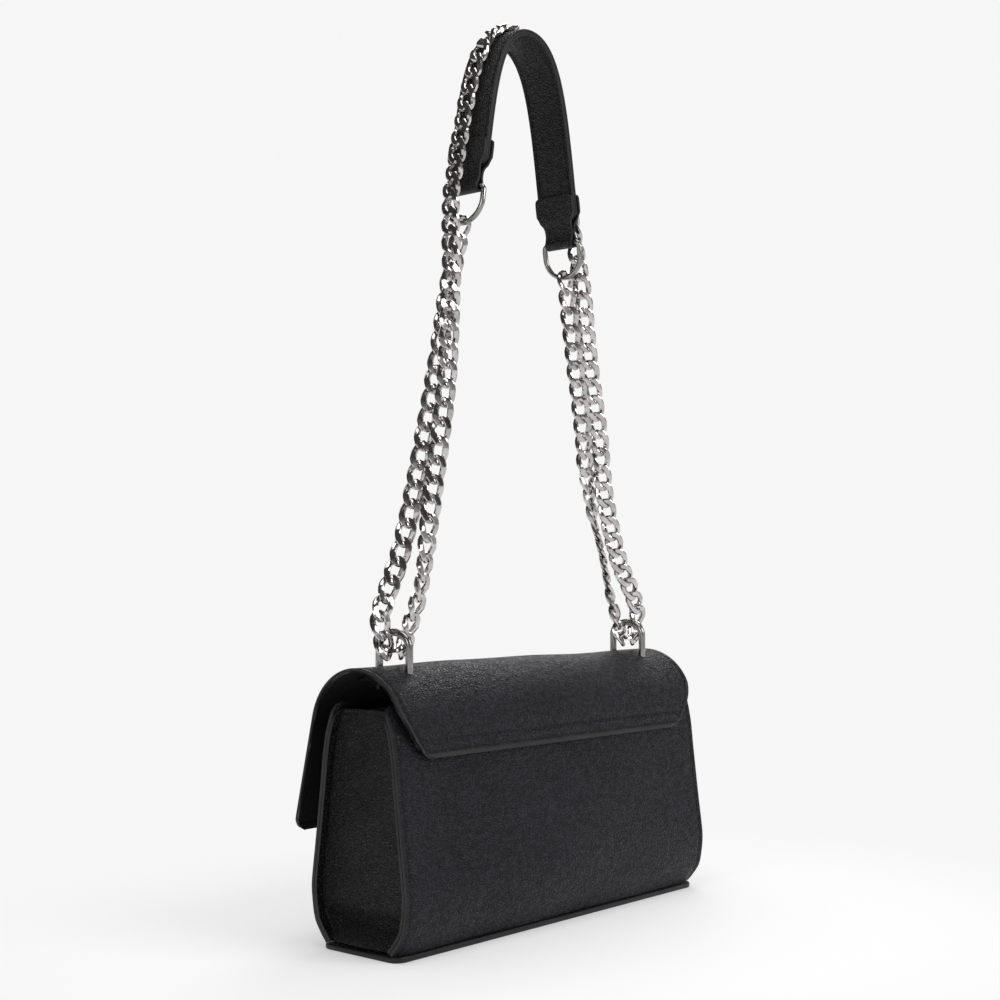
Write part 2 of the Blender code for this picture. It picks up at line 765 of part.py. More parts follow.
def smooth_line(points):
    """A line of close points along a curve through points."""
    points = [2 * points[0] - points[1], *points, 2 * points[-1] - points[-2]]
    line = []
    steps = 24
    for before, start, end, after in zip(points, points[1:], points[2:], points[3:]):
        for step in range(steps):
            t = step / steps
            line.append(
                (
                    2 * start
                    + (end - before) * t
                    + (2 * before - 5 * start + 4 * end - after) * t**2
                    + (3 * start - before - 3 * end + after) * t**3
                )
                / 2
            )
    line.append(points[-2])
    return np.array([tuple(point) for point in line])


def run_past(point, before, length):
    """The place that lies length past the end of a line whose last step is from before to point."""
    step = point - before
    return point + step / np.linalg.norm(step) * length


def chain_strand(name, line, rolls, metal, carrier, overrun=(0.0, 0.0)):
    """A run of interlocked links along a line; rolls gives their turn along the way.

    overrun is how far the links run past the line's start and end, into the next strand's link.
    """
    line[-1] = run_past(line[-1], line[-2], overrun[1])
    line[0] = run_past(line[0], line[1], overrun[0])
    length = float(np.linalg.norm(np.diff(line, axis=0), axis=1).sum())
    count = max(round(length / LINK_PITCH), 2)
    pitch = length / count
    places = even_places(line, count)
    unit = link_mesh(name + "_link", pitch + LINK_WIRE - LINK_BITE)
    halves = [bmesh.new(), bmesh.new()]
    for index in range(count):
        start, end = Vector(places[index]), Vector(places[index + 1])
        share = (index + 0.5) / count
        roll = math.radians(float(np.interp(share, [s for s, _ in rolls], [r for _, r in rolls])))
        piece = unit.copy()
        piece.transform(link_pose((start + end) / 2, end - start, roll))
        halves[index % 2].from_mesh(piece)
        bpy.data.meshes.remove(piece)
    bpy.data.meshes.remove(unit)
    part = add_part(name, mesh_from(halves[0], name), metal, carrier)
    other = add_part(name + "_others", mesh_from(halves[1], name + "_others"), metal, carrier)
    other.hide_render = True
    other.display_type = "WIRE"
    join = part.modifiers.new("interlock", "BOOLEAN")
    join.operation = "UNION"
    join.solver = "EXACT"
    join.object = other
    return part


def seat_of_strand(x, side, swing_z):
    """Start of a strand on the link in the staple, and its first direction; side 1 leans to +X."""
    lean = math.radians(SEAT_DEG)
    along = Vector((side * math.cos(lean), 0, math.sin(lean)))
    start = Vector(
        (x + side * SEAT_OUT_SHARE * LINK_PITCH, STRAP_PLANE, swing_z - SEAT_DOWN_SHARE * LINK_PITCH)
    )
    return start, along


def strand_line(start, along, end, shares, sway):
    """A strand's route: off its seat, through its shares of the way, to its end."""
    points = [start, start + along * LINK_PITCH * 0.9, start + along * LINK_PITCH * 1.8]
    low = points[-1].z
    for sideways, upward in shares:
        z = start.z + (end.z - start.z) * upward
        if z > low + LINK_PITCH / 2:
            points.append(Vector((start.x + (end.x - start.x) * sideways, STRAP_PLANE, z)))
    points.append(end)
    line = smooth_line(points)
    share = np.clip((line[:, 2] - start.z) / (end.z - start.z), 0.0, 1.0)
    out = np.minimum(1.0, np.minimum(share / SWAY_RISE_SHARE, (1.0 - share) / SWAY_FALL_SHARE))
    line[:, 1] += sway * np.sin(np.pi / 2 * out) ** 2
    return line


def main():
    clear_scene()
    leather = finish("leather", (0.030, 0.030, 0.036), 0.46)
    edge = finish("edge_paint", (0.022, 0.019, 0.018), 0.50)
    fabric = finish("lining_fabric", (0.020, 0.020, 0.022), 0.85)
    board = finish("board", (0.10, 0.085, 0.07), 0.80)
    steel = finish("polished_steel", (0.80, 0.80, 0.80), 0.16, 1.0)
    satin = finish("satin_nickel", (0.62, 0.61, 0.59), 0.28, 1.0)

    # Body
    body_panel("back_panel", 1, BACK_CROWN, SEAT_HEIGHT, leather)
    front = body_panel("front_panel", -1, FRONT_CROWN, BAG_HEIGHT, leather)
    gusset("gusset_right", 1, leather)
    gusset("gusset_left", -1, leather)
    foot_depth = SECTION_SHARES[0][1] * BAG_DEPTH / 2
    slab(
        "base_panel", (BAG_WIDTH, 2 * (foot_depth + BASE_LEDGE), BASE_THICKNESS), 0.0, edge, BASE_CHAMFER
    )
    board_size = (
        BAG_WIDTH - 2 * (SEAM_FLANGE + FIT_GAP),
        2 * (foot_depth - PANEL_THICKNESS - FIT_GAP),
        BOARD_THICKNESS,
    )
    slab("base_board", board_size, PANEL_FOOT, board)
    lining_cup("lining", fabric)
    slip_pocket("slip_pocket", fabric)

    # Flap, which turns where it leaves its stitched strip
    path = FlapPath()
    flap_pivot = pivot("flap_hinge", (0, path.hinge_y, HINGE_HEIGHT))
    under = FLAP_LEATHER + FIT_GAP
    root_runs = [path.root * step / ROOT_STEPS for step in range(ROOT_STEPS + 1)]
    flap_sheet("flap_root", path, root_runs, 0.0, FLAP_LEATHER, leather)
    flap_sheet("flap_root_lining", path, root_runs, under, FLAP_LINING, fabric)
    runs = flap_runs(path)
    layers = [
        flap_sheet("flap", path, runs, 0.0, FLAP_LEATHER, leather, flap_pivot),
        flap_sheet("flap_lining", path, runs, under, FLAP_LINING, fabric, flap_pivot),
    ]
    legs = staple_legs(path)
    first = math.floor(path.step_at(legs[0] + NUT_RADIUS))
    last = math.ceil(path.step_at(legs[1] - NUT_RADIUS))
    plate_runs = [path.arc_run(step) for step in range(first, last + 1)]
    for side, x in (("right", STAPLE_X), ("left", -STAPLE_X)):
        staple("staple_" + side, x, path, satin, flap_pivot)
        plate = flap_sheet(
            "staple_plate_" + side,
            path,
            plate_runs,
            FLAP_TOTAL + FIT_GAP,
            PLATE_THICKNESS,
            satin,
            flap_pivot,
            x,
            PLATE_WIDTH / 2,
        )
        layers.append(plate)
        for place, y in (("back", legs[0]), ("front", legs[1])):
            layers.append(nut("staple_nut_" + side + "_" + place, x, y, path, satin, flap_pivot))
    cutter = leg_cutter("leg_holes", path, flap_pivot)
    for layer in layers:
        cut(layer, cutter)
    snap(path, front, satin, flap_pivot)

    # Strap, which swings in the staples
    swing_z = path.height(STRAP_PLANE) + SWING_HEIGHT
    strap_pivot = pivot("strap_swing", (0, STRAP_PLANE, swing_z))
    arch = StrapArch()
    base = -PAD_TOTAL / 2
    pad_layer("pad_lining", arch, base, PAD_LEATHER, leather, strap_pivot)
    pad_layer("pad_core", arch, base + PAD_LEATHER + FIT_GAP, PAD_CORE, edge, strap_pivot)
    pad_layer(
        "pad_outer", arch, base + PAD_LEATHER + PAD_CORE + 2 * FIT_GAP, PAD_LEATHER, leather, strap_pivot
    )
    crest = []
    run = arch.length
    for share in np.linspace(-1.0, 1.0, 161):
        lift = CHAIN_LIFT_TOP + (CHAIN_LIFT_END - CHAIN_LIFT_TOP) * abs(share)
        crest.append(tuple(arch.at(run * share, lift)[0]))
    crest = np.array(crest)
    ring_to_link = RING_WIRE / 2 + FIT_GAP + LINK_WIRE / 2 - (LINK_REACH - LINK_PITCH) / 2
    strands = {
        "right": (1, OUTER_RIGHT_SHARES, INNER_RIGHT_SHARES, ROLL_OUTER_RIGHT, ROLL_INNER_RIGHT),
        "left": (-1, OUTER_LEFT_SHARES, INNER_LEFT_SHARES, ROLL_OUTER_LEFT, ROLL_INNER_LEFT),
    }
    for side, (sign, outer, inner, outer_roll, inner_roll) in strands.items():
        pad_tab("pad_tab_" + side, sign, arch, leather, strap_pivot)
        d_ring("d_ring_" + side, sign, arch, satin, strap_pivot)
        x = sign * STAPLE_X
        middle = link_mesh("chain_staple_link_" + side, LINK_REACH)
        middle.transform(link_pose(Vector((x, STRAP_PLANE, swing_z)), Vector((1, 0, 0)), 0.0))
        add_part("chain_staple_link_" + side, middle, steel, strap_pivot)
        bar, _, down = arch.at(bar_run(sign))
        ring_end = bar + down * (ring_drop() - ring_to_link)
        crest_end = Vector(crest[-1] if sign > 0 else crest[0])
        start, along = seat_of_strand(x, -1, swing_z)
        ways = {-1: (start, along)}
        ways[1] = seat_of_strand(x, 1, swing_z)
        outer_line = strand_line(*ways[-1], crest_end, outer, CHAIN_SWAY)
        inner_line = strand_line(*ways[1], ring_end, inner, -CHAIN_SWAY)
        overrun = (0.0, JOIN_SLACK / 2)
        chain_strand("chain_outer_" + side, outer_line, outer_roll, steel, strap_pivot, overrun)
        chain_strand("chain_inner_" + side, inner_line, inner_roll, steel, strap_pivot)
    overrun = (JOIN_SLACK / 2, JOIN_SLACK / 2)
    chain_strand("chain_over_pad", crest, ((0.0, 0.0), (1.0, 0.0)), steel, strap_pivot, overrun)


if __name__ == "__main__":
    main()
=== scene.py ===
"""Visual layer of a structured pochette bag with a flap and a chain shoulder strap.

Everything is in metres in the frame of the solids: +Z up, +Y out of the back panel, the bag's
base on the floor at the origin. Each sub-assembly is a class that holds its sizes, builds its
pieces and dresses them.
"""

import logging
import math
from collections.abc import Callable, Sequence
from dataclasses import dataclass, field
from enum import Enum

import bmesh
import bpy
import numpy as np
from mathutils import Matrix, Vector


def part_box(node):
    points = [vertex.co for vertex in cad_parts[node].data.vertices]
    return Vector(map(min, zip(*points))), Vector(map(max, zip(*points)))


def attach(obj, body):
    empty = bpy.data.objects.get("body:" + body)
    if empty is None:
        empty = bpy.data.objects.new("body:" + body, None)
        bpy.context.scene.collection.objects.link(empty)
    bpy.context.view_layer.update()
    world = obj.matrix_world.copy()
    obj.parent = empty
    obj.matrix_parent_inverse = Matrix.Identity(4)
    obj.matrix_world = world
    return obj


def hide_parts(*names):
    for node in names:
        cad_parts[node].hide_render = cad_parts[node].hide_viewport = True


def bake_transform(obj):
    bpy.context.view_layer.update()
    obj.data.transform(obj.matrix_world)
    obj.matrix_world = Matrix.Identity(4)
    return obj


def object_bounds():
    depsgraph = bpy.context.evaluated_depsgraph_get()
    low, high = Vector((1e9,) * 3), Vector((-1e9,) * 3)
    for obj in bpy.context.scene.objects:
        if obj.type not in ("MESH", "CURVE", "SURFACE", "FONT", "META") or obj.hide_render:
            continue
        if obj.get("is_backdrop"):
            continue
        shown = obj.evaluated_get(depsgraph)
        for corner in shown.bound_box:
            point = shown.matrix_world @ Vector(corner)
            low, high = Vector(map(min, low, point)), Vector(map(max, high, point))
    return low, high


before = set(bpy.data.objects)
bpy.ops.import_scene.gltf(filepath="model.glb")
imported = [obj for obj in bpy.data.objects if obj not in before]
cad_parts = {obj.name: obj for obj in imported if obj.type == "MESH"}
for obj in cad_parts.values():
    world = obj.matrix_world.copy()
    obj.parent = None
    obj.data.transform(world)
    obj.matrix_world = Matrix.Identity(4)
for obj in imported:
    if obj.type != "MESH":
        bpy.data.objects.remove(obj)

SOLID_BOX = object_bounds()
LOG = logging.getLogger("pochette")
MM = 0.001
WELD = 0.01 * MM
SOFT_DEG = 60.0


class Body(Enum):
    """The moving bodies that a piece can ride on."""

    BAG = "bag"
    FLAP = "flap_part"
    STRAP = "strap"


class Slot(Enum):
    """Names of material slots; nothing in this script reads them."""

    LEATHER = "leather"
    FABRIC = "fabric"
    SATIN = "satin_metal"
    CHAIN = "chain_metal"


# --- Shader writing ---


class Signal:
    """An output socket on which sums are written as Python expressions."""

    def __init__(
        self, recipe: "Recipe", node: bpy.types.Node, socket: bpy.types.NodeSocket
    ) -> None:
        """Keeps where the signal comes from.

        Args:
            recipe: The recipe that the signal belongs to.
            node: The node that gives it.
            socket: The node's output.
        """
        self.recipe = recipe
        self.node = node
        self.socket = socket

    def out(self, name: str) -> "Signal":
        """Another output of the same node."""
        return Signal(self.recipe, self.node, self.node.outputs[name])

    def _sum(self, operation: str, other: "Signal | float", flipped: bool = False) -> "Signal":
        """One Math node on this signal and another value.

        Args:
            operation: The Math node's operation.
            other: The second value.
            flipped: Whether the other value comes first.

        Returns:
            The result's signal.
        """
        first, second = (other, self) if flipped else (self, other)
        return self.recipe.node("ShaderNodeMath", {"operation": operation}, {0: first, 1: second})

    def __add__(self, other: "Signal | float") -> "Signal":
        """This plus other."""
        return self._sum("ADD", other)

    __radd__ = __add__

    def __sub__(self, other: "Signal | float") -> "Signal":
        """This minus other."""
        return self._sum("SUBTRACT", other)

    def __rsub__(self, other: float) -> "Signal":
        """Other minus this."""
        return self._sum("SUBTRACT", other, flipped=True)

    def __mul__(self, other: "Signal | float") -> "Signal":
        """This times other."""
        return self._sum("MULTIPLY", other)

    __rmul__ = __mul__


# The Mix node's two colour inputs and its colour output.
MIX_FIRST, MIX_SECOND, MIX_RESULT = 6, 7, 2


class Recipe:
    """The node tree of one material or of the world."""

    def __init__(self, tree: bpy.types.NodeTree) -> None:
        """Empties the tree that it will fill."""
        self.tree = tree
        tree.nodes.clear()

    def node(
        self,
        kind: str,
        settings: dict[str, object] | None = None,
        values: dict[int | str, object] | None = None,
    ) -> Signal:
        """Adds a node.

        Args:
            kind: The node's type.
            settings: Its properties, set first.
            values: What its input sockets are linked to or set to.

        Returns:
            The signal of its first enabled output.
        """
        made = self.tree.nodes.new(kind)
        for key, value in (settings or {}).items():
            setattr(made, key, value)
        for key, value in (values or {}).items():
            if isinstance(value, Signal):
                self.tree.links.new(value.socket, made.inputs[key])
            elif isinstance(value, tuple) and len(made.inputs[key].default_value) == len(value) + 1:
                made.inputs[key].default_value = (*value, 1.0)
            else:
                made.inputs[key].default_value = value
        outputs = [socket for socket in made.outputs if socket.enabled]
        return Signal(self, made, outputs[0] if outputs else None)

    def place(self) -> Signal:
        """The point of the surface in the bag's own frame."""
        return self.node("ShaderNodeTexCoord").out("Object")

    def noise(self, where: Signal, per_metre: float, detail: float = 2.0) -> Signal:
        """Smooth noise.

        Args:
            where: The coordinates.
            per_metre: How many lumps there are in a metre.
            detail: How many finer layers are added.

        Returns:
            The signal of the noise, from 0 to 1.
        """
        return self.node(
            "ShaderNodeTexNoise", {}, {"Vector": where, "Scale": per_metre, "Detail": detail}
        )

    def vector(self, operation: str, values: dict[int | str, object]) -> Signal:
        """One Vector Math node."""
        return self.node("ShaderNodeVectorMath", {"operation": operation}, values)

    def remap(self, value: Signal, low: float, high: float, first: float, last: float) -> Signal:
        """A smooth step from one number to another.

        Args:
            value: What drives the step.
            low: The value at which it begins.
            high: The value at which it ends.
            first: The number up to low.
            last: The number from high on.

        Returns:
            The signal of the step.
        """
        return self.node(
            "ShaderNodeMapRange",
            {"interpolation_type": "SMOOTHSTEP"},
            {"Value": value, "From Min": low, "From Max": high, "To Min": first, "To Max": last},
        )

    def shifted(self, where: Signal, by: Signal, reach: float) -> Signal:
        """Coordinates moved about by a colour.

        Args:
            where: The coordinates.
            by: The colour, whose middle grey moves nothing.
            reach: Twice the farthest move along an axis.

        Returns:
            The signal of the moved coordinates.
        """
        centred = self.vector("SUBTRACT", {0: by, 1: (0.5, 0.5, 0.5)})
        scaled = self.vector("SCALE", {0: centred, "Scale": reach})
        return self.vector("ADD", {0: where, 1: scaled})

    def colours(self, share: Signal, first: tuple, second: tuple) -> Signal:
        """A colour between two others.

        Args:
            share: How much of the second it holds, from 0 to 1.
            first: The colour at 0.
            second: The colour at 1.

        Returns:
            The signal of the colour.
        """
        mixed = self.node("ShaderNodeMix", {"data_type": "RGBA"}, {0: share})
        mixed.node.inputs[MIX_FIRST].default_value = (*first, 1.0)
        mixed.node.inputs[MIX_SECOND].default_value = (*second, 1.0)
        return Signal(self, mixed.node, mixed.node.outputs[MIX_RESULT])

    def relief(self, height: Signal, depth: float, strength: float) -> Signal:
        """Normals bent by a pattern of heights.

        Args:
            height: The pattern.
            depth: How far a height of 1 stands out.
            strength: How much of the bending shows.

        Returns:
            The signal of the normals.
        """
        values = {"Height": height, "Distance": depth, "Strength": strength}
        return self.node("ShaderNodeBump", {}, values)

    def surface(self, fixed: dict[str, object], varied: dict[str, Signal]) -> None:
        """Ends the tree in a Principled surface.

        Args:
            fixed: Values that are the same all over.
            varied: Signals that change over the surface.
        """
        shader = self.node("ShaderNodeBsdfPrincipled", {}, {**fixed, **varied})
        self.node("ShaderNodeOutputMaterial", {}, {"Surface": shader})


@dataclass(frozen=True)
class Finish:
    """What all finishes share: a name and the way to make the material once."""

    name: str

    def write(self, recipe: Recipe) -> None:
        """Fills the material's tree."""
        raise NotImplementedError

    def material(self) -> bpy.types.Material:
        """The finish's material, made at its first use.

        Returns:
            The material.
        """
        found = bpy.data.materials.get(self.name)
        if found is None:
            found = bpy.data.materials.new(self.name)
            found.use_nodes = True
            self.write(Recipe(found.node_tree))
        return found


@dataclass(frozen=True)
class PebbledLeather(Finish):
    """Grained, softly shining leather."""

    light: tuple = (0.0138, 0.0133, 0.0200)
    dark: tuple = (0.0018, 0.0018, 0.0028)
    pebble: float = 1.35 * MM
    stretch: tuple = (0.55, 0.75, 1.0)
    relief: float = 0.46 * MM
    strength: float = 1.0
    gloss: float = 0.34
    sheen: float = 0.01
    specular: float = 0.24
    wander_scale: float = 0.6
    patch_scale: float = 0.16
    clump_scale: float = 0.55
    pore_scale: float = 5.2
    drift_per_metre: float = 14.0
    warp: float = 0.9
    crease: float = 0.30
    pebble_heights: tuple = (0.45, 1.3)
    clump_height: float = 1.9
    pore_height: float = 0.10
    # Painted shade: the creases between pebbles are coloured darker and the crests lighter.
    crest_painted_light: float = 0.45
    drift_light: float = 0.2
    # Painted highlight: the raised clumps are coloured lighter.
    clump_painted_highlight: float = 0.45
    crease_dull: float = 0.18
    clump_dull: float = 0.10

    def write(self, recipe: Recipe) -> None:
        """Pebbles with creases between them, fine pores and a slow drift of tone, with painted
        shade in the creases and a painted highlight on the raised clumps.

        Args:
            recipe: The recipe of the material that is filled.
        """
        place = recipe.place()
        where = recipe.vector("MULTIPLY", {0: place, 1: self.stretch})
        wander = recipe.noise(where, self.wander_scale / self.pebble, 2.0)
        warped = recipe.shifted(where, wander.out("Color"), self.pebble * self.warp)
        cells = recipe.node(
            "ShaderNodeTexVoronoi",
            {"feature": "DISTANCE_TO_EDGE"},
            {"Vector": warped, "Scale": 1.0 / self.pebble, "Randomness": 1.0},
        )
        crest = recipe.remap(cells, 0.0, self.crease, 0.0, 1.0)
        patch = recipe.noise(where, self.patch_scale / self.pebble, 3.0)
        clump = recipe.noise(where, self.clump_scale / self.pebble, 2.0)
        pores = recipe.noise(where, self.pore_scale / self.pebble, 2.0)
        drift = recipe.noise(place, self.drift_per_metre, 2.0)
        least, more = self.pebble_heights
        height = crest * (patch * more + least)
        height = height + clump * self.clump_height + pores * self.pore_height
        faded = recipe.remap(drift, 0.3, 0.7, 0.0, self.drift_light)
        # Painted highlight on the raised clumps.
        clump_highlight = recipe.remap(clump, 0.38, 0.62, 0.0, self.clump_painted_highlight)
        dulled = recipe.remap(clump, 0.35, 0.65, self.clump_dull, 0.0)
        # The colour's share: the random drift of tone, plus painted shade in the creases and a
        # painted highlight on the raised clumps.
        shade = crest * self.crest_painted_light + faded + clump_highlight
        recipe.surface(
            {
                "Specular IOR Level": self.specular,
                "Sheen Weight": self.sheen,
                "Sheen Roughness": 0.45,
            },
            {
                "Base Color": recipe.colours(shade, self.dark, self.light),
                "Roughness": self.gloss + self.crease_dull * (1 - crest) + dulled,
                "Normal": recipe.relief(height, self.relief, self.strength),
            },
        )


@dataclass(frozen=True)
class EdgePaint(Finish):
    """Paint that closes a cut edge of leather, built up in coats and softly domed."""

    light: tuple = (0.0135, 0.0112, 0.0104)
    dark: tuple = (0.0050, 0.0044, 0.0043)
    gloss: float = 0.36

    def write(self, recipe: Recipe) -> None:
        """Slow waves where the paint was wiped on, with faint brown where it is thin.

        Args:
            recipe: The recipe of the material that is filled.
        """
        where = recipe.place()
        wiped = recipe.noise(where, 160.0, 3.0)
        thin = recipe.noise(where, 38.0, 2.0)
        browned = recipe.remap(thin, 0.35, 0.7, 0.0, 1.0)
        recipe.surface(
            {"Specular IOR Level": 0.4},
            {
                "Base Color": recipe.colours(browned, self.dark, self.light),
                "Roughness": self.gloss + wiped * 0.16,
                "Normal": recipe.relief(wiped, 0.12 * MM, 0.35),
            },
        )


@dataclass(frozen=True)
class WovenLining(Finish):
    """Plain-woven lining cloth."""

    light: tuple = (0.014, 0.014, 0.0155)
    dark: tuple = (0.004, 0.004, 0.0045)
    yarn: float = 0.55 * MM

    def write(self, recipe: Recipe) -> None:
        """Two crossing sets of yarn, one wave each, with a slow drift of tone.

        Args:
            recipe: The recipe of the material that is filled.
        """
        where = recipe.place()
        turns = 2 * math.pi / self.yarn
        parts = recipe.node("ShaderNodeSeparateXYZ", {}, {"Vector": where})
        waves = []
        for way in (parts.out("X") + parts.out("Y"), parts.out("Z") + parts.out("Y") * 0.5):
            turned = way * turns
            waves.append(recipe.node("ShaderNodeMath", {"operation": "SINE"}, {0: turned}))
        cloth = waves[0] * waves[1] * 0.5 + 0.5
        drift = recipe.noise(where, 30.0, 2.0)
        recipe.surface(
            {"Specular IOR Level": 0.25, "Sheen Weight": 0.2},
            {
                "Base Color": recipe.colours(cloth * 0.7 + drift * 0.3, self.dark, self.light),
                "Roughness": 0.72 + 0.2 * drift,
                "Normal": recipe.relief(cloth, 0.12 * MM, 0.5),
            },
        )


@dataclass(frozen=True)
class Thread(Finish):
    """Waxed sewing thread."""

    light: tuple = (0.010, 0.010, 0.011)
    dark: tuple = (0.003, 0.003, 0.0035)

    def write(self, recipe: Recipe) -> None:
        """Fine plies across the thread.

        Args:
            recipe: The recipe of the material that is filled.
        """
        where = recipe.place()
        plies = recipe.noise(where, 3600.0, 1.0)
        recipe.surface(
            {"Specular IOR Level": 0.4},
            {
                "Base Color": recipe.colours(plies, self.dark, self.light),
                "Roughness": 0.42 + 0.2 * plies,
                "Normal": recipe.relief(plies, 0.08 * MM, 0.4),
            },
        )


@dataclass(frozen=True)
class Metal(Finish):
    """Plated metal with fine marks of polishing."""

    light: tuple = (0.80, 0.79, 0.78)
    dark: tuple = (0.66, 0.65, 0.64)
    rough: float = 0.10
    spread: float = 0.08
    marks: float = 900.0
    depth: float = 0.02 * MM

    def write(self, recipe: Recipe) -> None:
        """Soft clouds in the plating, fine marks and a slightly uneven face.

        Args:
            recipe: The recipe of the material that is filled.
        """
        where = recipe.place()
        clouds = recipe.noise(where, 120.0, 2.0)
        marks = recipe.noise(where, self.marks, 3.0)
        clouded = recipe.remap(clouds, 0.3, 0.7, 0.0, 1.0)
        recipe.surface(
            {"Metallic": 1.0},
            {
                "Base Color": recipe.colours(clouded, self.dark, self.light),
                "Roughness": self.rough + marks * self.spread,
                "Normal": recipe.relief(marks * 0.3 + clouds, self.depth, 0.25),
            },
        )


@dataclass(frozen=True)
class Fibreboard(Finish):
    """Pressed leather fibre."""

    light: tuple = (0.13, 0.10, 0.08)
    dark: tuple = (0.06, 0.05, 0.04)

    def write(self, recipe: Recipe) -> None:
        """Flecks of fibre.

        Args:
            recipe: The recipe of the material that is filled.
        """
        where = recipe.place()
        flecks = recipe.noise(where, 700.0, 4.0)
        recipe.surface(
            {"Specular IOR Level": 0.3},
            {
                "Base Color": recipe.colours(flecks, self.dark, self.light),
                "Roughness": 0.7 + 0.2 * flecks,
                "Normal": recipe.relief(flecks, 0.1 * MM, 0.4),
            },
        )


LEATHER = PebbledLeather("pebbled_leather")
# The gussets' leather is coloured darker and less blue than the rest of the bag: painted shade on
# the side turned from the lamps.
GUSSET_LEATHER_PAINTED_SHADE = PebbledLeather(
    "soft_gusset_leather_painted_shade",
    light=(0.0096, 0.0096, 0.0090),
    dark=(0.0022, 0.0022, 0.0021),
    relief=0.52 * MM,
    gloss=0.27,
    specular=0.30,
)
PAD_LEATHER = PebbledLeather(
    "shoulder_pad_leather",
    light=(0.0120, 0.0116, 0.0122),
    dark=(0.0030, 0.0030, 0.0032),
    stretch=(1.0, 0.75, 0.8),
    relief=0.50 * MM,
    gloss=0.30,
    specular=0.36,
)
# The flap's backing is a dark leather, coloured darker still as painted shade under the flap.
BACKING_LEATHER_PAINTED_SHADE = PebbledLeather(
    "flap_backing_leather_painted_shade",
    light=(0.0060, 0.0060, 0.0064),
    dark=(0.0030, 0.0030, 0.0032),
    pebble=0.6 * MM,
    relief=0.12 * MM,
    strength=0.4,
    gloss=0.55,
    specular=0.2,
)
PAINT = EdgePaint("painted_edge")
CLOTH = WovenLining("woven_lining")
THREAD = Thread("waxed_thread")
CHAIN_STEEL = Metal("polished_chain_plating", light=(0.64, 0.61, 0.60), dark=(0.44, 0.415, 0.405))
SATIN_NICKEL = Metal(
    "satin_nickel", light=(0.40, 0.385, 0.365), dark=(0.27, 0.26, 0.245), rough=0.22
)
# Near-black steel: painted shade for the metal hidden under the flap, namely the staples' legs
# inside it and the nuts and plates.
PAINTED_SHADE_STEEL = Metal(
    "painted_shade_steel", light=(0.035, 0.035, 0.037), dark=(0.018, 0.018, 0.019), rough=0.42
)
BOARD = Fibreboard("leather_fibreboard")


# --- Making pieces ---


def settle(
    name: str,
    mesh: bpy.types.Mesh,
    finishes: Sequence[Finish],
    body: Body,
    slot: Slot,
    nodes: Sequence[str] = (),
    ride: bool = True,
) -> bpy.types.Object:
    """Puts a finished mesh into the scene as a piece.

    Args:
        name: The piece's name.
        mesh: Its mesh, in the bag's own frame.
        finishes: Its materials in slot order.
        body: The body that it moves with, if it rides.
        slot: Not used.
        nodes: The solids that it stands for.
        ride: Whether it rides on its body.

    Returns:
        The piece's object.
    """
    for finish in finishes:
        mesh.materials.append(finish.material())
    piece = bpy.data.objects.new(name, mesh)
    bpy.context.scene.collection.objects.link(piece)
    if ride:
        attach(piece, body.value)
    if nodes:
        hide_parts(*nodes)
    LOG.info("%s: %d faces on %s", name, len(mesh.polygons), body.value)
    return piece


def refinish(node: str, finish: Finish) -> None:
    """Gives a solid that stays in the scene its finish.

    Args:
        node: The solid's name.
        finish: The finish.
    """
    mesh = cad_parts[node].data
    mesh.materials.clear()
    mesh.materials.append(finish.material())


def mesh_of(bm: bmesh.types.BMesh, name: str, crease_deg: float = 40.0) -> bpy.types.Mesh:
    """Turns a bmesh into a smoothly shaded mesh whose sharp edges stay sharp.

    Args:
        bm: The bmesh, which is freed.
        name: The mesh's name.
        crease_deg: The angle over which an edge stays sharp.

    Returns:
        The mesh.
    """
    mesh = bpy.data.meshes.new(name)
    bm.to_mesh(mesh)
    bm.free()
    mesh.shade_smooth()
    mesh.set_sharp_from_angle(angle=math.radians(crease_deg))
    return mesh


def laid_grid(
    columns: int, rows: int, place: Callable[[int, int], Vector], closed: bool = False
) -> bmesh.types.BMesh:
    """A grid whose point (i, j) lies at place(i, j).

    Args:
        columns: How many cells it has across.
        rows: How many cells it has along.
        place: Where each point lies.
        closed: Whether edges that meet are joined.

    Returns:
        The bmesh.
    """
    bm = bmesh.new()
    bmesh.ops.create_grid(bm, x_segments=columns, y_segments=rows, size=0.5)
    for vert in bm.verts:
        i = round((vert.co.x + 0.5) * columns)
        j = round((vert.co.y + 0.5) * rows)
        vert.co = place(i, j)
    if closed:
        bmesh.ops.remove_doubles(bm, verts=bm.verts, dist=WELD)
    return bm


def grid_over(
    columns: Sequence, rows: Sequence, place: Callable[..., Vector]
) -> bmesh.types.BMesh:
    """A grid with a point for each pair of a column and a row.

    Args:
        columns: Its columns.
        rows: Its rows.
        place: Gives the point for a column and a row.

    Returns:
        The grid.
    """
    return laid_grid(len(columns) - 1, len(rows) - 1, lambda i, j: place(columns[i], rows[j]))


CREASE_PLACES = (-1.6 * MM, -0.8 * MM, -0.35 * MM, 0.0, 0.35 * MM, 0.8 * MM, 1.6 * MM)
END_PLACE = 0.7 * MM
CLEAR_SHARE = 0.45
LEAST_STEP = 0.2 * MM


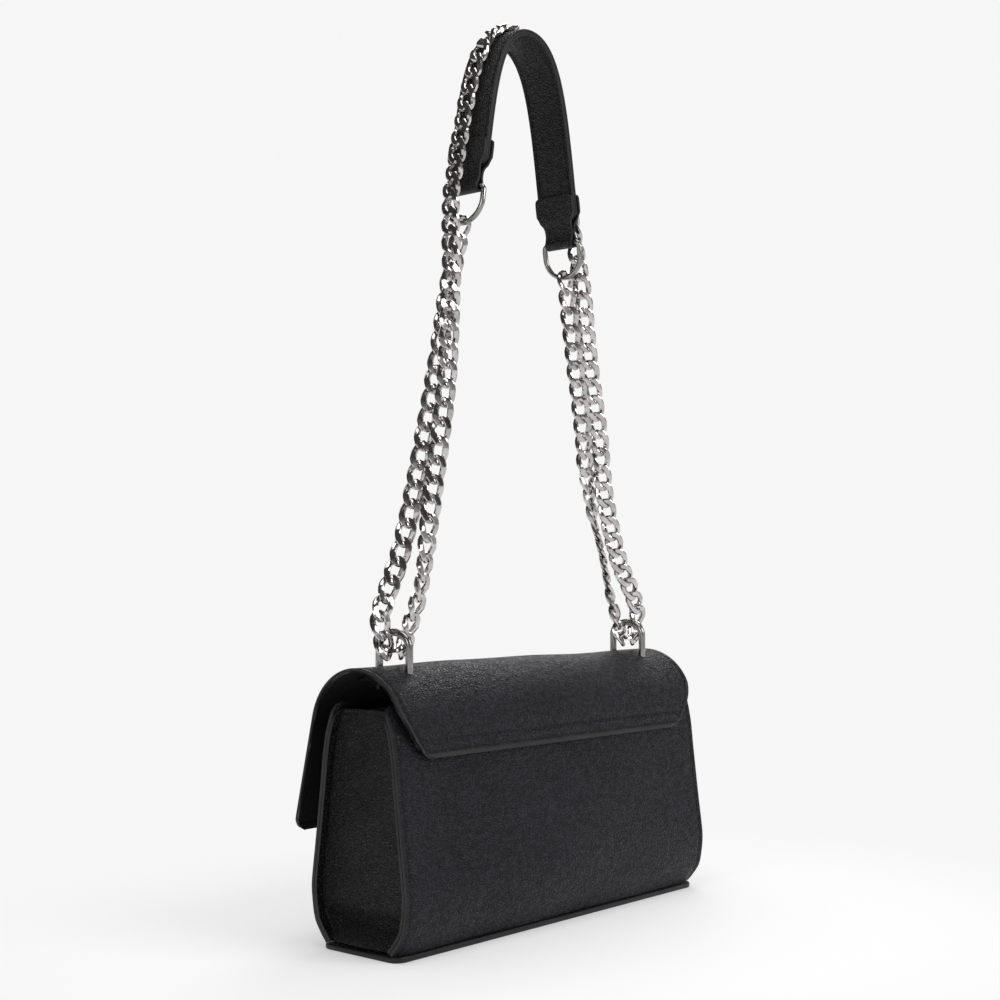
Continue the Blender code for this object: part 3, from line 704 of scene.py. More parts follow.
def stations(start: float, end: float, step: float, lines: Sequence[float] = ()) -> list[float]:
    """Places from start to end, closer together at each line and at both ends.

    Args:
        start: The first place.
        end: The last place.
        step: The usual distance between places.
        lines: Where a crease or a row of stitches runs.

    Returns:
        The places in order.
    """
    count = max(round((end - start) / step), 1)
    places = {start, end, start + END_PLACE, end - END_PLACE}
    for line in lines:
        places.update(line + shift for shift in CREASE_PLACES)
    kept = sorted(place for place in places if start <= place <= end)
    for index in range(1, count):
        place = start + (end - start) * index / count
        if min(abs(place - other) for other in kept) > CLEAR_SHARE * step:
            kept.append(place)
    kept.sort()
    clean = [kept[0]]
    for place in kept[1:]:
        if place - clean[-1] > LEAST_STEP:
            clean.append(place)
    clean[-1] = end
    return clean


def round_off(
    bm: bmesh.types.BMesh, edges: Sequence[bmesh.types.BMEdge], radius: float, segments: int
) -> None:
    """Rounds edges.

    Args:
        bm: The bmesh that they belong to.
        edges: The edges.
        radius: How far the rounding reaches from each.
        segments: How many faces it has across.
    """
    bmesh.ops.bevel(
        bm,
        geom=edges,
        offset=radius,
        segments=segments,
        profile=0.5,
        affect="EDGES",
        material=-1,
    )


def dip(distance: float, depth: float = 0.35 * MM, width: float = 0.75 * MM) -> float:
    """How far a row of stitches pulls the leather in at a distance from it."""
    return depth * math.exp(-((distance / width) ** 2))


def kept_share(value: float) -> float:
    """A value kept between 0 and 1."""
    return min(max(value, 0.0), 1.0)


def eased(share: float) -> float:
    """A share that leaves 0 and reaches 1 softly."""
    return share**2 * (3 - 2 * share)


@dataclass(frozen=True)
class Wave:
    """One slow wave of a soft surface, over two measures of it."""

    height: float
    first: float
    second: float = 0.0
    phase: float = 0.0

    def at(self, a: float, b: float = 0.0, shift: float = 0.0) -> float:
        """The wave's height where its two measures are a and b."""
        return self.height * math.sin(a * self.first + b * self.second + self.phase + shift)


def thicken(
    piece: bpy.types.Object,
    thickness: float,
    side: float,
    rounding: float = 0.35,
    even: bool = True,
) -> None:
    """Gives a sheet its thickness, paints its cut edge and rounds it.

    Args:
        piece: The sheet's object, whose second material is the edge paint.
        thickness: The sheet's thickness.
        side: 1 to grow along the normals and -1 against them.
        rounding: The edge's radius as a share of the thickness.
        even: Whether the thickness is kept round sharp turns.
    """
    solid = piece.modifiers.new("thickness", "SOLIDIFY")
    solid.thickness = thickness
    solid.offset = side
    solid.use_even_offset = even
    solid.material_offset_rim = 1
    bevel = piece.modifiers.new("domed_edge", "BEVEL")
    bevel.width = thickness * rounding
    bevel.segments = 3
    bevel.limit_method = "ANGLE"
    bevel.angle_limit = math.radians(50.0)


def smooth_line(points: Sequence[Vector], steps: int = 24) -> np.ndarray:
    """Close points along a curve through points.

    Args:
        points: The points that it goes through.
        steps: How many pieces it is cut into between two of them.

    Returns:
        The close points, one in each row.
    """
    held = [2 * points[0] - points[1], *points, 2 * points[-1] - points[-2]]
    line = []
    for before, start, end, after in zip(held, held[1:], held[2:], held[3:]):
        for step in range(steps):
            t = step / steps
            line.append(
                (
                    2 * start
                    + (end - before) * t
                    + (2 * before - 5 * start + 4 * end - after) * t**2
                    + (3 * start - before - 3 * end + after) * t**3
                )
                / 2
            )
    line.append(held[-2])
    return np.array([tuple(point) for point in line])


def runs_of(line: np.ndarray) -> np.ndarray:
    """How far each point of a line lies along it."""
    steps = np.linalg.norm(np.diff(line, axis=0), axis=1)
    return np.concatenate([[0.0], np.cumsum(steps)])


def even_places(line: np.ndarray, count: int, carried: np.ndarray | None = None) -> np.ndarray:
    """What lies at the ends of equal runs along a line.

    Args:
        line: The line's close points.
        count: How many equal runs it is cut into.
        carried: What each point carries, or nothing for the points themselves.

    Returns:
        The points or what they carry, one more than there are runs.
    """
    data = line if carried is None else carried
    runs = runs_of(line)
    wanted = np.linspace(0.0, runs[-1], count + 1)
    return np.stack([np.interp(wanted, runs, data[:, k]) for k in range(data.shape[1])], axis=1)


def round_wire(name: str, points: Sequence[Vector], radius: float, closed: bool) -> bpy.types.Mesh:
    """The mesh of a round wire through points.

    Args:
        name: The mesh's name.
        points: The wire's centre line.
        radius: Its radius.
        closed: Whether its ends meet.

    Returns:
        The mesh.
    """
    curve = bpy.data.curves.new(name, "CURVE")
    curve.dimensions = "3D"
    curve.bevel_depth = radius
    curve.bevel_resolution = 6
    curve.use_fill_caps = True
    line = curve.splines.new("POLY")
    line.points.add(len(points) - 1)
    for knot, point in zip(line.points, points):
        knot.co = (*point, 1.0)
    line.use_cyclic_u = closed
    line.use_smooth = True
    carrier = bpy.data.objects.new(name + "_line", curve)
    bpy.context.scene.collection.objects.link(carrier)
    bpy.context.view_layer.update()
    drawn = carrier.evaluated_get(bpy.context.evaluated_depsgraph_get())
    mesh = bpy.data.meshes.new_from_object(drawn)
    mesh.name = name
    bpy.data.objects.remove(carrier, do_unlink=True)
    bpy.data.curves.remove(curve)
    mesh.shade_smooth()
    return mesh


@dataclass(frozen=True)
class Stitching:
    """Rows of short lock stitches, each a thread's rounded hump."""

    pitch: float = 3.1 * MM
    length: float = 2.3 * MM
    thread: float = 0.46 * MM
    slant_deg: float = 7.0

    def hump(self, spot: Vector, out: Vector, along: Vector) -> Matrix:
        """The place, turn and size of one stitch.

        Args:
            spot: Its middle.
            out: The surface's outward direction there.
            along: The way along the row.

        Returns:
            The matrix that makes it from a ball with a radius of 1.
        """
        out = out.normalized()
        along = (along - out * along.dot(out)).normalized()
        turn = Matrix((along, out.cross(along), out)).transposed().to_4x4()
        slant = Matrix.Rotation(math.radians(self.slant_deg), 4, "Z")
        size = Matrix.Diagonal((self.length / 2, self.thread / 2, self.thread / 2, 1.0))
        poles = Matrix.Rotation(math.pi / 2, 4, "Y")
        return Matrix.Translation(spot) @ turn @ slant @ size @ poles

    def sew(
        self,
        name: str,
        rows: Sequence[tuple[Sequence[Vector], Sequence[Vector]]],
        body: Body,
        slot: Slot = Slot.LEATHER,
        blend: Callable[[bpy.types.Object], None] | None = None,
    ) -> bpy.types.Object:
        """Sews rows of stitches as one piece.

        Args:
            name: The piece's name.
            rows: For each row the places along it and the surface's outward direction there.
            body: The body that it moves with, when no blend is given.
            slot: Passed on to settle, which does not use it.
            blend: What is done to the piece in place of riding on its body, if anything.

        Returns:
            The piece's object.
        """
        bm = bmesh.new()
        for places, outs in rows:
            line = np.array([tuple(place) for place in places])
            ways = np.array([tuple(out) for out in outs])
            count = max(int(runs_of(line)[-1] / self.pitch), 1)
            spots = even_places(line, 2 * count)
            outwards = even_places(line, 2 * count, ways)
            for index in range(1, 2 * count, 2):
                along = Vector(spots[index + 1]) - Vector(spots[index - 1])
                bmesh.ops.create_uvsphere(
                    bm,
                    u_segments=6,
                    v_segments=5,
                    radius=1.0,
                    matrix=self.hump(Vector(spots[index]), Vector(outwards[index]), along),
                )
        mesh = mesh_of(bm, name, 80.0)
        piece = settle(name, mesh, [THREAD], body, slot, ride=blend is None)
        if blend is not None:
            blend(piece)
        return piece


def stitch_row(
    spots: Sequence[tuple[Vector, Vector]], sunk: float
) -> tuple[list[Vector], list[Vector]]:
    """A row of stitches that is pulled into the surface.

    Args:
        spots: Points of the surface, each with the direction out of it.
        sunk: How far the thread's middle lies under the surface.

    Returns:
        The places along the row and the outward directions there.
    """
    return [point - out * sunk for point, out in spots], [out for _, out in spots]


SEWING = Stitching()


# --- The bag's body ---


@dataclass
class BagShape:
    """The body's outline as it is seen from the side, and what its panels share."""

    width: float = 0.270
    depth: float = 0.072
    height: float = 0.132
    foot: float = 0.0035
    panel: float = 2.0 * MM
    flange: float = 6.0 * MM
    crown_margin: float = 12.0 * MM
    top_corner: float = 5.5 * MM
    rise_shares: tuple = (0.0, 0.03, 0.09, 0.16, 0.245, 0.44, 0.673, 0.79, 0.891, 1.0)
    depth_shares: tuple = (0.77, 0.825, 0.93, 0.98, 1.0, 0.91, 0.81, 0.765, 0.69, 0.54)
    corner_pinch: float = 3.2 * MM
    pinch_length: float = 9.0 * MM
    pinch_height: float = 14.0 * MM
    roundness: float = 0.65
    slope_span: float = 1.5 * MM
    _line: np.ndarray = field(init=False)

    def __post_init__(self) -> None:
        """Draws the side line once, between a smooth curve and straight runs."""
        knots = [
            Vector((share * self.depth / 2, self.foot + rise * (self.height - self.foot), 0.0))
            for rise, share in zip(self.rise_shares, self.depth_shares)
        ]
        straight = np.array([tuple(knot) for knot in knots])
        line = smooth_line(knots, 12)
        plain = np.interp(line[:, 1], straight[:, 1], straight[:, 0])
        line[:, 0] = self.roundness * line[:, 0] + (1.0 - self.roundness) * plain
        self._line = line

    def half_depth(self, z: float) -> float:
        """Half of the body's depth at a height."""
        return float(np.interp(z, self._line[:, 1], self._line[:, 0]))

    def pinch(self, x: float, z: float) -> float:
        """How far the lower corners are drawn in towards the middle of the depth.

        Args:
            x: The place along the width.
            z: The height.

        Returns:
            The distance.
        """
        out = kept_share((abs(x) - self.width / 2 + self.pinch_length) / self.pinch_length)
        low = kept_share(1.0 - (z - self.foot) / self.pinch_height)
        return self.corner_pinch * eased(out) * low**2

    def seam_reach(self, left: float) -> float:
        """Half of the body's width over its seams, left under the top of a rounded seam."""
        over = max(self.top_corner - left, 0.0)
        return self.width / 2 - self.top_corner + math.sqrt(self.top_corner**2 - over**2)

    def at(self, z: float, inset: float = 0.0) -> tuple[float, float]:
        """A point of the side line, moved in at a right angle to it.

        Args:
            z: The height on the line.
            inset: How far it is moved in.

        Returns:
            The point's distance from the middle of the depth, and its height.
        """
        span = self.slope_span
        rise = min(max(z, self.foot + span), self.height - span)
        slope = (self.half_depth(rise + span) - self.half_depth(rise - span)) / (2 * span)
        length = math.hypot(1.0, slope)
        lowered = z + inset * slope / length
        return self.half_depth(z) - inset / length, min(max(lowered, self.foot), self.height)

    def swollen(self, x: float, z: float, crown: float, crown_top: float) -> float:
        """Half of the body's depth where a filled panel swells past the side line.

        Args:
            x: The place along the width.
            z: The height.
            crown: The greatest swelling.
            crown_top: The height at which the swelling ends.

        Returns:
            The half depth, swelling included.
        """
        half = self.width / 2 - self.flange - self.crown_margin
        if abs(x) >= half or z >= crown_top:
            return self.half_depth(z)
        across = math.cos(math.pi / 2 * x / half) ** 2
        upward = math.sin(math.pi * (z - self.foot) / (crown_top - self.foot)) ** 2
        return self.half_depth(z) + crown * across * upward


@dataclass
class BagBody:
    """The sewn body: panels, gussets, base, board, lining and pocket."""

    shape: BagShape
    back_crown: float = 4.0 * MM
    front_crown: float = 12.0 * MM
    seat_height: float = 0.1035
    panel_cell: tuple = (5.5 * MM, 3.6 * MM)
    panel_waves: tuple = (Wave(0.35 * MM, 61.0, 23.0), Wave(1.0, 47.0, phase=0.8))
    still_edge: float = 8.0 * MM
    stitch_inset: float = 3.2 * MM
    top_stitch: float = 3.0 * MM
    top_dip: float = 0.25 * MM
    side_sunk: float = 0.22 * MM
    top_sunk: float = 0.15 * MM
    gusset: float = 1.6 * MM
    gusset_cell: float = 2.4 * MM
    gusset_drop: float = 3.0 * MM
    gusset_hem: float = 4.0 * MM
    gusset_dip: float = 0.3 * MM
    gusset_sunk: float = 0.12 * MM
    sewn_share: float = 0.72
    lip_shares: tuple = (1.0, 0.9, 0.63, 0.3)
    gusset_hollow: float = 3.6 * MM
    gusset_stitch: float = 2.4 * MM
    gusset_waves: tuple = (
        Wave(0.55 * MM, 118.0, 2.1),
        Wave(0.40 * MM, 205.0, -3.4),
        Wave(0.30 * MM, 61.0, 5.0),
    )
    fold_height: float = 15.5 * MM
    fold_above: float = 6.0 * MM
    fold_below: float = 8.5 * MM
    fold_depth: float = 6.0 * MM
    foot_turn: float = 5.0 * MM
    foot_height: float = 9.0 * MM
    gap: float = 0.3 * MM
    base: float = 3.2 * MM
    base_ledge: float = 1.3 * MM
    base_corner: float = 7.0 * MM
    base_round: float = 0.9 * MM
    board: float = 2.0 * MM
    lining: float = 0.8 * MM
    lining_play: float = 1.0 * MM
    lining_inset: float = 11.8 * MM
    lining_drop: float = 4.5 * MM
    lining_corner: float = 6.0 * MM
    lining_power: float = 0.16
    lining_waves: tuple = (Wave(0.5 * MM, 9.0, 90.0), Wave(1.0, 60.0))
    pocket_width: float = 0.130
    pocket_low: float = 0.035
    pocket_high: float = 0.100
    pocket_belly: float = 2.2 * MM
    pocket_hem: float = 3.0 * MM
    pocket_edge: float = 2.0 * MM

    @property
    def lining_face(self) -> float:
        """How far the lining lies inside the body's outline."""
        return self.shape.panel + self.lining_play

    def panel_point(self, side: int, x: float, z: float) -> tuple[Vector, Vector]:
        """A point of a panel's outer face and the direction out of it.

        Args:
            side: 1 for the back and -1 for the front.
            x: Where it lies along the width.
            z: Its height.

        Returns:
            The point, and the direction out of the face.
        """
        shape = self.shape
        crown, top = self.front_crown, shape.height
        if side > 0:
            crown, top = self.back_crown, self.seat_height
        ripple = self.panel_waves[0].at(x, z) * self.panel_waves[1].at(z)
        inner = max(0.0, 1.0 - (abs(x) / (shape.width / 2 - self.still_edge)) ** 6)
        reach = shape.swollen(x, z, crown, top) + ripple * inner - shape.pinch(x, z)
        span = shape.slope_span
        above = shape.swollen(x, z + span, crown, top)
        below = shape.swollen(x, z - span, crown, top)
        out = Vector((0, side, -(above - below) / (2 * span))).normalized()
        return Vector((x, side * reach, z)), out

    def build_panel(self, side: int) -> None:
        """The back or front panel with its stitches.

        Args:
            side: 1 for the back and -1 for the front.
        """
        shape = self.shape
        half = shape.width / 2
        seam = half - self.stitch_inset
        hem = shape.height - self.top_stitch
        columns = stations(-half, half, self.panel_cell[0], (-seam, seam))
        rows = stations(shape.foot, shape.height, self.panel_cell[1], (hem,))

        def place(column: float, z: float) -> Vector:
            """A point of the panel's grid.

            Args:
                column: Its place along the width, before the corners are drawn in.
                z: Its height.

            Returns:
                The point.
            """
            x = column * -side * shape.seam_reach(shape.height - z) / half
            point, out = self.panel_point(side, x, z)
            return point - out * (dip(abs(x) - seam) + dip(z - hem, self.top_dip))

        word = "back" if side > 0 else "front"
        name = word + "_panel_leather"
        mesh = mesh_of(grid_over(columns, rows, place), name)
        piece = settle(name, mesh, [LEATHER, PAINT], Body.BAG, Slot.LEATHER, [word + "_panel"])
        thicken(piece, shape.panel, -1)
        sewn = []
        for x in (-seam, seam):
            heights = np.linspace(shape.foot + 2 * MM, shape.height - 4 * MM, 60)
            spots = [self.panel_point(side, x, float(z)) for z in heights]
            sewn.append(stitch_row(spots, self.side_sunk))
        spots = [self.panel_point(side, float(x), hem) for x in np.linspace(-seam, seam, 80)]
        sewn.append(stitch_row(spots, self.top_sunk))
        SEWING.sew(word + "_panel_stitches", sewn, Body.BAG)

    def gusset_point(self, side: int, share: float, z: float) -> Vector:
        """A point of a gusset's inner face.

        Args:
            side: 1 for the right and -1 for the left.
            share: -1 at the front seam and 1 at the back seam.
            z: Its height.

        Returns:
            The point.
        """
        shape = self.shape
        depth, height = shape.at(z, shape.panel + self.gap)
        wall = shape.width / 2 - shape.flange
        rise = (z - shape.foot) / (shape.height - shape.foot)
        belly = math.cos(math.pi / 2 * share) ** 0.7 if abs(share) < 1 else 0.0
        free = min(belly * 1.6, 1.0)
        hollow = self.gusset_hollow * belly * math.sin(math.pi / 2 * min(rise * 1.1, 1.0))
        spread = self.fold_above if z > self.fold_height else self.fold_below
        tuck = self.fold_depth * math.exp(-(((z - self.fold_height) / spread) ** 2)) * free
        long_wave, short_wave, slow_wave = self.gusset_waves
        soft = long_wave.at(z, share, side) + short_wave.at(z, share) + slow_wave.at(z, share)
        low = kept_share(1.0 - (z - shape.foot) / self.foot_height)
        turned = self.foot_turn * eased(low) * free
        x = wall - hollow - tuck + turned + soft * min(belly, 1.0)
        return Vector((side * x, side * share * (depth - shape.pinch(x, z)), height))

    def build_gusset(self, side: int) -> None:
        """A soft side wall with its edges turned outwards into the seams.

        Args:
            side: 1 for the right and -1 for the left.
        """
        shape = self.shape
        top = shape.height - self.gusset_drop
        stitched = top - self.gusset_stitch
        shares = [-1.0, -0.985, -0.95, *np.linspace(-0.88, 0.88, 15), 0.95, 0.985, 1.0]
        wall = shape.width / 2 - shape.flange
        front = [(-1, share) for share in self.lip_shares]
        back = [(1, share) for share in reversed(self.lip_shares)]
        columns = [*front, *((0, float(share)) for share in shares), *back]
        rows = stations(shape.foot, top, self.gusset_cell, (stitched,))

        def place(column: tuple[int, float], z: float) -> Vector:
            """A point of the gusset's grid, with the lips that are turned out into the seams.

            Args:
                column: -1 for the front lip, 1 for the back one or 0 for the wall between them,
                    and how far it lies across that.
                z: Its height.

            Returns:
                The point.
            """
            way, share = column
            if way:
                point = self.gusset_point(side, way, z)
                x = wall + share * (shape.seam_reach(top - z) - wall)
                drawn = shape.pinch(point.x, z) - shape.pinch(x, z)
                return Vector((side * x, point.y + side * way * drawn, point.z))
            point = self.gusset_point(side, share, z)
            if z > top - self.gusset_hem:
                point.x -= side * dip(z - stitched, self.gusset_dip)
            return point

        node = "gusset_right" if side > 0 else "gusset_left"
        name = node + "_leather"
        mesh = mesh_of(grid_over(columns, rows, place), name, SOFT_DEG)
        piece = settle(name, mesh, [GUSSET_LEATHER_PAINTED_SHADE, PAINT], Body.BAG, Slot.LEATHER, [node])
        thicken(piece, self.gusset, 1, even=False)
        out = Vector((side, 0, 0))
        shares_sewn = np.linspace(-self.sewn_share, self.sewn_share, 30)
        face = out * self.gusset
        spots = [(self.gusset_point(side, float(s), stitched) + face, out) for s in shares_sewn]
        SEWING.sew(node + "_stitches", [stitch_row(spots, self.gusset_sunk)], Body.BAG)

    def build_base(self) -> None:
        """The base panel with its thick painted edge, and the board over it."""
        shape = self.shape
        half_deep = shape.depth_shares[0] * shape.depth / 2 + self.base_ledge
        bm = bmesh.new()
        bmesh.ops.create_cube(bm, size=1.0)
        bmesh.ops.scale(bm, vec=(shape.width, 2 * half_deep, self.base), verts=bm.verts)
        bmesh.ops.translate(bm, vec=(0, 0, self.base / 2), verts=bm.verts)
        upright = [e for e in bm.edges if abs(e.verts[0].co.z - e.verts[1].co.z) > self.base / 2]
        round_off(bm, upright, self.base_corner, 6)
        rims = [e for e in bm.edges if abs(e.verts[0].co.z - e.verts[1].co.z) < WELD]
        round_off(bm, rims, self.base_round, 4)
        for face in bm.faces:
            face.normal_update()
            face.material_index = 0 if abs(face.normal.z) > 0.999 else 1
        mesh = mesh_of(bm, "base_leather", 50.0)
        settle("base_leather", mesh, [LEATHER, PAINT], Body.BAG, Slot.LEATHER, ["base_panel"])
        refinish("base_board", BOARD)

    def lining_point(self, turn: float, z: float) -> Vector:
        """A point of the lining's wall.

        Args:
            turn: Where it lies round the cup, from 0 to 1.
            z: Its height.

        Returns:
            The point.
        """
        depth, height = self.shape.at(z, self.lining_face)
        half = self.shape.width / 2 - self.shape.flange - self.lining_inset
        angle = 2 * math.pi * turn
        across, deep = (
            math.copysign(abs(way) ** self.lining_power, way)
            for way in (math.cos(angle), math.sin(angle))
        )
        soft = self.lining_waves[0].at(angle, z) * self.lining_waves[1].at(z)
        x = across * (half - self.lining_corner / 8 + soft)
        return Vector((x, deep * (depth - self.lining_corner / 12 + soft), height))

    def build_lining(self) -> None:
        """The cloth cup inside the body."""
        foot = self.shape.foot + self.board + 2 * self.gap
        rows = stations(foot, self.shape.height - self.lining_drop, 6.0 * MM)
        around = 96

        def place(i: int, j: int) -> Vector:
            """A point of the cup's wall."""
            return self.lining_point((i % around + 0.5) / around, rows[j])

        bm = laid_grid(around, len(rows) - 1, place, closed=True)
        rim = [e for e in bm.edges if e.is_boundary and max(v.co.z for v in e.verts) < foot + MM]
        floor = bmesh.ops.contextual_create(bm, geom=rim)["faces"]
        inner = bmesh.ops.inset_region(bm, faces=floor, thickness=6 * MM)["faces"]
        bmesh.ops.triangulate(bm, faces=[*inner, *floor])
        bmesh.ops.recalc_face_normals(bm, faces=bm.faces)
        mesh = mesh_of(bm, "cloth_lining", SOFT_DEG)
        cup = settle("cloth_lining", mesh, [CLOTH, CLOTH], Body.BAG, Slot.FABRIC, ["lining"])
        thicken(cup, self.lining, -1, 0.3)

    def pocket_point(self, x: float, z: float) -> Vector:
        """A point of the slip pocket's face, whose mouth stands a little open.

        Args:
            x: Where it lies along the width.
            z: Its height.

        Returns:
            The point.
        """
        depth, height = self.shape.at(z, self.lining_face + self.lining + self.gap)
        rise = (z - self.pocket_low) / (self.pocket_high - self.pocket_low)
        belly = math.cos(math.pi * x / self.pocket_width) ** 2 * rise**2
        return Vector((x, depth - self.pocket_belly * belly, height))

    def build_pocket(self) -> None:
        """The slip pocket sewn to the lining's back."""
        half, low, high = self.pocket_width / 2, self.pocket_low, self.pocket_high
        side = half - self.pocket_edge
        hem = high - self.pocket_hem
        columns = stations(-half, half, 6.5 * MM, (-side, side))
        rows = stations(low, high, 6.0 * MM, (low + self.pocket_edge, hem))
        bm = grid_over(columns, rows, lambda x, z: self.pocket_point(-x, z))
        mesh = mesh_of(bm, "cloth_pocket", SOFT_DEG)
        pocket = settle(
            "cloth_pocket", mesh, [CLOTH, CLOTH], Body.BAG, Slot.FABRIC, ["slip_pocket"]
        )
        thicken(pocket, self.lining, -1, 0.3)
        out = Vector((0, -1, 0))
        spots = [(self.pocket_point(float(x), hem), out) for x in np.linspace(-side, side, 30)]
        row = stitch_row(spots, -self.lining - 0.1 * MM)
        SEWING.sew("pocket_hem_stitches", [row], Body.BAG, Slot.FABRIC)

    def build(self) -> None:
        """All of the body's pieces."""
        self.build_panel(1)
        self.build_panel(-1)
        self.build_gusset(1)
        self.build_gusset(-1)
        self.build_base()
        self.build_lining()
        self.build_pocket()


# --- The flap ---


@dataclass
class Flap:
    """The flap, from its stitched strip on the back over the crown to its front edge."""

    shape: BagShape
    seat_height: float = 0.1035
    hinge_height: float = 0.116
    hinge_y: float = 0.030703
    crown_radius: float = 0.0355
    fall: float = 0.0657
    flare_deg: float = 13.0
    leather: float = 1.4 * MM
    backing: float = 1.0 * MM
    backing_under: float = 0.12 * MM
    root_half: float = 0.1145
    full_half: float = 0.132
    flare_length: float = 0.030
    flare_power: float = 1.6
    paint_band: float = 1.7 * MM
    back_band: float = 2.5 * MM
    paint_dip: tuple = (0.22 * MM, 0.3 * MM)
    corner: float = 0.0075
    back_corner: float = 2.6 * MM
    edge_row: float = 3.4 * MM
    upper_row: float = 9.4 * MM
    row_margin: float = 1.0 * MM
    thread_sunk: float = 0.2 * MM
    ridge: float = 0.3 * MM
    ridge_width: float = 1.9 * MM
    crest_waves: tuple = (Wave(0.45 * MM, 29.0, phase=0.7), Wave(0.25 * MM, 71.0, 40.0))
    crest_drop: float = 0.5 * MM

    def __post_init__(self) -> None:
        """Works out the lengths of the path."""
        self.root = self.hinge_height - self.seat_height
        self.turn = math.pi - math.radians(self.flare_deg)
        self.arc = self.crown_radius * self.turn
        self.length = self.root + self.arc + self.fall
        self.centre_y = self.hinge_y - self.crown_radius
        self.rows = (self.edge_row, self.upper_row, self.length - self.edge_row)

    def at(self, run: float, depth: float = 0.0) -> tuple[Vector, Vector]:
        """A point of the flap's path in the middle of its width.

        Args:
            run: How far it lies from the lower back edge, along the outer face.
            depth: How far it lies under that face.

        Returns:
            The point and the outward direction.
        """
        if run <= self.root:
            return Vector((0, self.hinge_y - depth, self.seat_height + run)), Vector((0, 1, 0))
        angle = min((run - self.root) / self.crown_radius, self.turn)
        out = Vector((0, math.cos(angle), math.sin(angle)))
        point = Vector((0, self.centre_y, self.hinge_height)) + out * (self.crown_radius - depth)
        over = run - self.root - self.arc
        if over > 0:
            point += Vector((0, -out.z, out.y)) * over
        return point, out

    def half_width(self, run: float, inset: float = 0.0) -> float:
        """Half of the flap's width, corners included.

        Args:
            run: The distance from the lower back edge, along the outer face.
            inset: How far in from the edge it is taken.

        Returns:
            The half width.
        """
        grown = min(max(run, 0.0) / self.flare_length, 1.0)
        flared = 1.0 - (1.0 - grown) ** self.flare_power
        half = self.root_half + (self.full_half - self.root_half) * flared - inset
        for left, radius in (
            (self.length - inset - run, self.corner - inset),
            (run - inset, max(self.back_corner - inset, 0.0)),
        ):
            if 0 <= left < radius:
                half -= radius - math.sqrt(radius**2 - (radius - left) ** 2)
        return half

    def point(self, x: float, run: float, depth: float = 0.0) -> tuple[Vector, Vector]:
        """A point of the flap with its softness, and the way out.

        Args:
            x: Where it lies along the width.
            run: The distance from the lower back edge, along the outer face.
            depth: How far it lies under that face.

        Returns:
            The point and the outward direction.
        """
        point, out = self.at(run, depth)
        rise = math.sin(math.pi * kept_share((run - self.root) / self.arc))
        sag = self.crest_waves[0].at(x) + self.crest_waves[1].at(x, run) - self.crest_drop
        middle = (self.edge_row + self.upper_row) / 2
        ridge = self.ridge * math.exp(-(((run - middle) / self.ridge_width) ** 2))
        point = point + out * (sag * rise + ridge)
        point.x = x
        return point, out

    def pull(self, left: float, run: float) -> float:
        """How far the rows of stitches and the paint's border draw the outer face in.

        Args:
            left: The distance from the side edge.
            run: The distance from the lower back edge, along the outer face.

        Returns:
            The depth.
        """
        straight = self.length - run > self.corner / 2
        pulls = [dip(left - self.edge_row) if straight else 0.0]
        pulls += [dip(run - row) for row in self.rows]
        pulls += [dip(left - self.paint_band, *self.paint_dip)]
        pulls += [dip(run - self.back_band, *self.paint_dip)]
        return max(pulls)

    def bend(self, piece: bpy.types.Object) -> None:
        """Bakes a piece's placement into its mesh, without bending it where the flap leaves its
        stitched strip.

        Args:
            piece: The piece.
        """
        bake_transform(piece)

    def edge_distances(self) -> list[tuple[float, float]]:
        """The columns of a layer's grid, closer together near its edges.

        Returns:
            Pairs of a share of the inner width, from -1 to 1, and the distance from that edge.
        """
        near = [0.0, 0.5, 1.3, 1.7, 2.1, 2.6, 3.05, 3.4, 3.75, 4.2, 5.6, 7.5]
        left = [(-1.0, shift * MM) for shift in near]
        right = [(1.0, shift * MM) for shift in reversed(near)]
        inner = [(float(share), near[-1] * MM) for share in np.linspace(-1, 1, 43)[1:-1]]
        return [*left, *inner, *right]

    def edge_runs(self) -> list[float]:
        """The rows of a layer's grid, closer together at stitches, paint and corners.

        Returns:
            Runs from the lower back edge.
        """
        plain = stations(0.0, self.length, 3.4 * MM, self.rows)
        corner = [self.length - self.corner * s for s in (0.03, 0.10, 0.2, 0.35, 0.5, 0.7, 0.85)]
        painted = [0.3 * MM, 1.2 * MM, self.back_band - 0.4 * MM, self.back_band]
        return sorted({*plain, *corner, *painted})

    def layer(
        self,
        name: str,
        depth: float,
        thickness: float,
        finishes: Sequence[Finish],
        nodes: Sequence[str],
    ) -> None:
        """One layer of the flap as one unbroken sheet.

        Args:
            name: The piece's name.
            depth: How far its upper face lies under the flap's outer face.
            thickness: Its thickness.
            finishes: Its materials, the edge's second.
            nodes: The solids that it stands for.
        """
        columns = self.edge_distances()
        rows = self.edge_runs()

        def place(column: tuple[float, float], run: float) -> Vector:
            """A point of the layer's grid.

            Args:
                column: Its share of the width and its distance from the edge.
                run: The distance from the lower back edge.

            Returns:
                The point.
            """
            share, inset = column
            half = self.half_width(run)
            x = share * (half - inset)
            point, out = self.point(x, run, depth)
            return point - out * self.pull(half - abs(x), run) if depth == 0.0 else point

        bm = grid_over(columns, rows, place)
        self.paint_rim(bm, columns, rows)
        mesh = mesh_of(bm, name, SOFT_DEG)
        piece = settle(name, mesh, finishes, Body.FLAP, Slot.LEATHER, nodes, ride=False)
        thicken(piece, thickness, 1, 0.38, even=False)
        self.bend(piece)

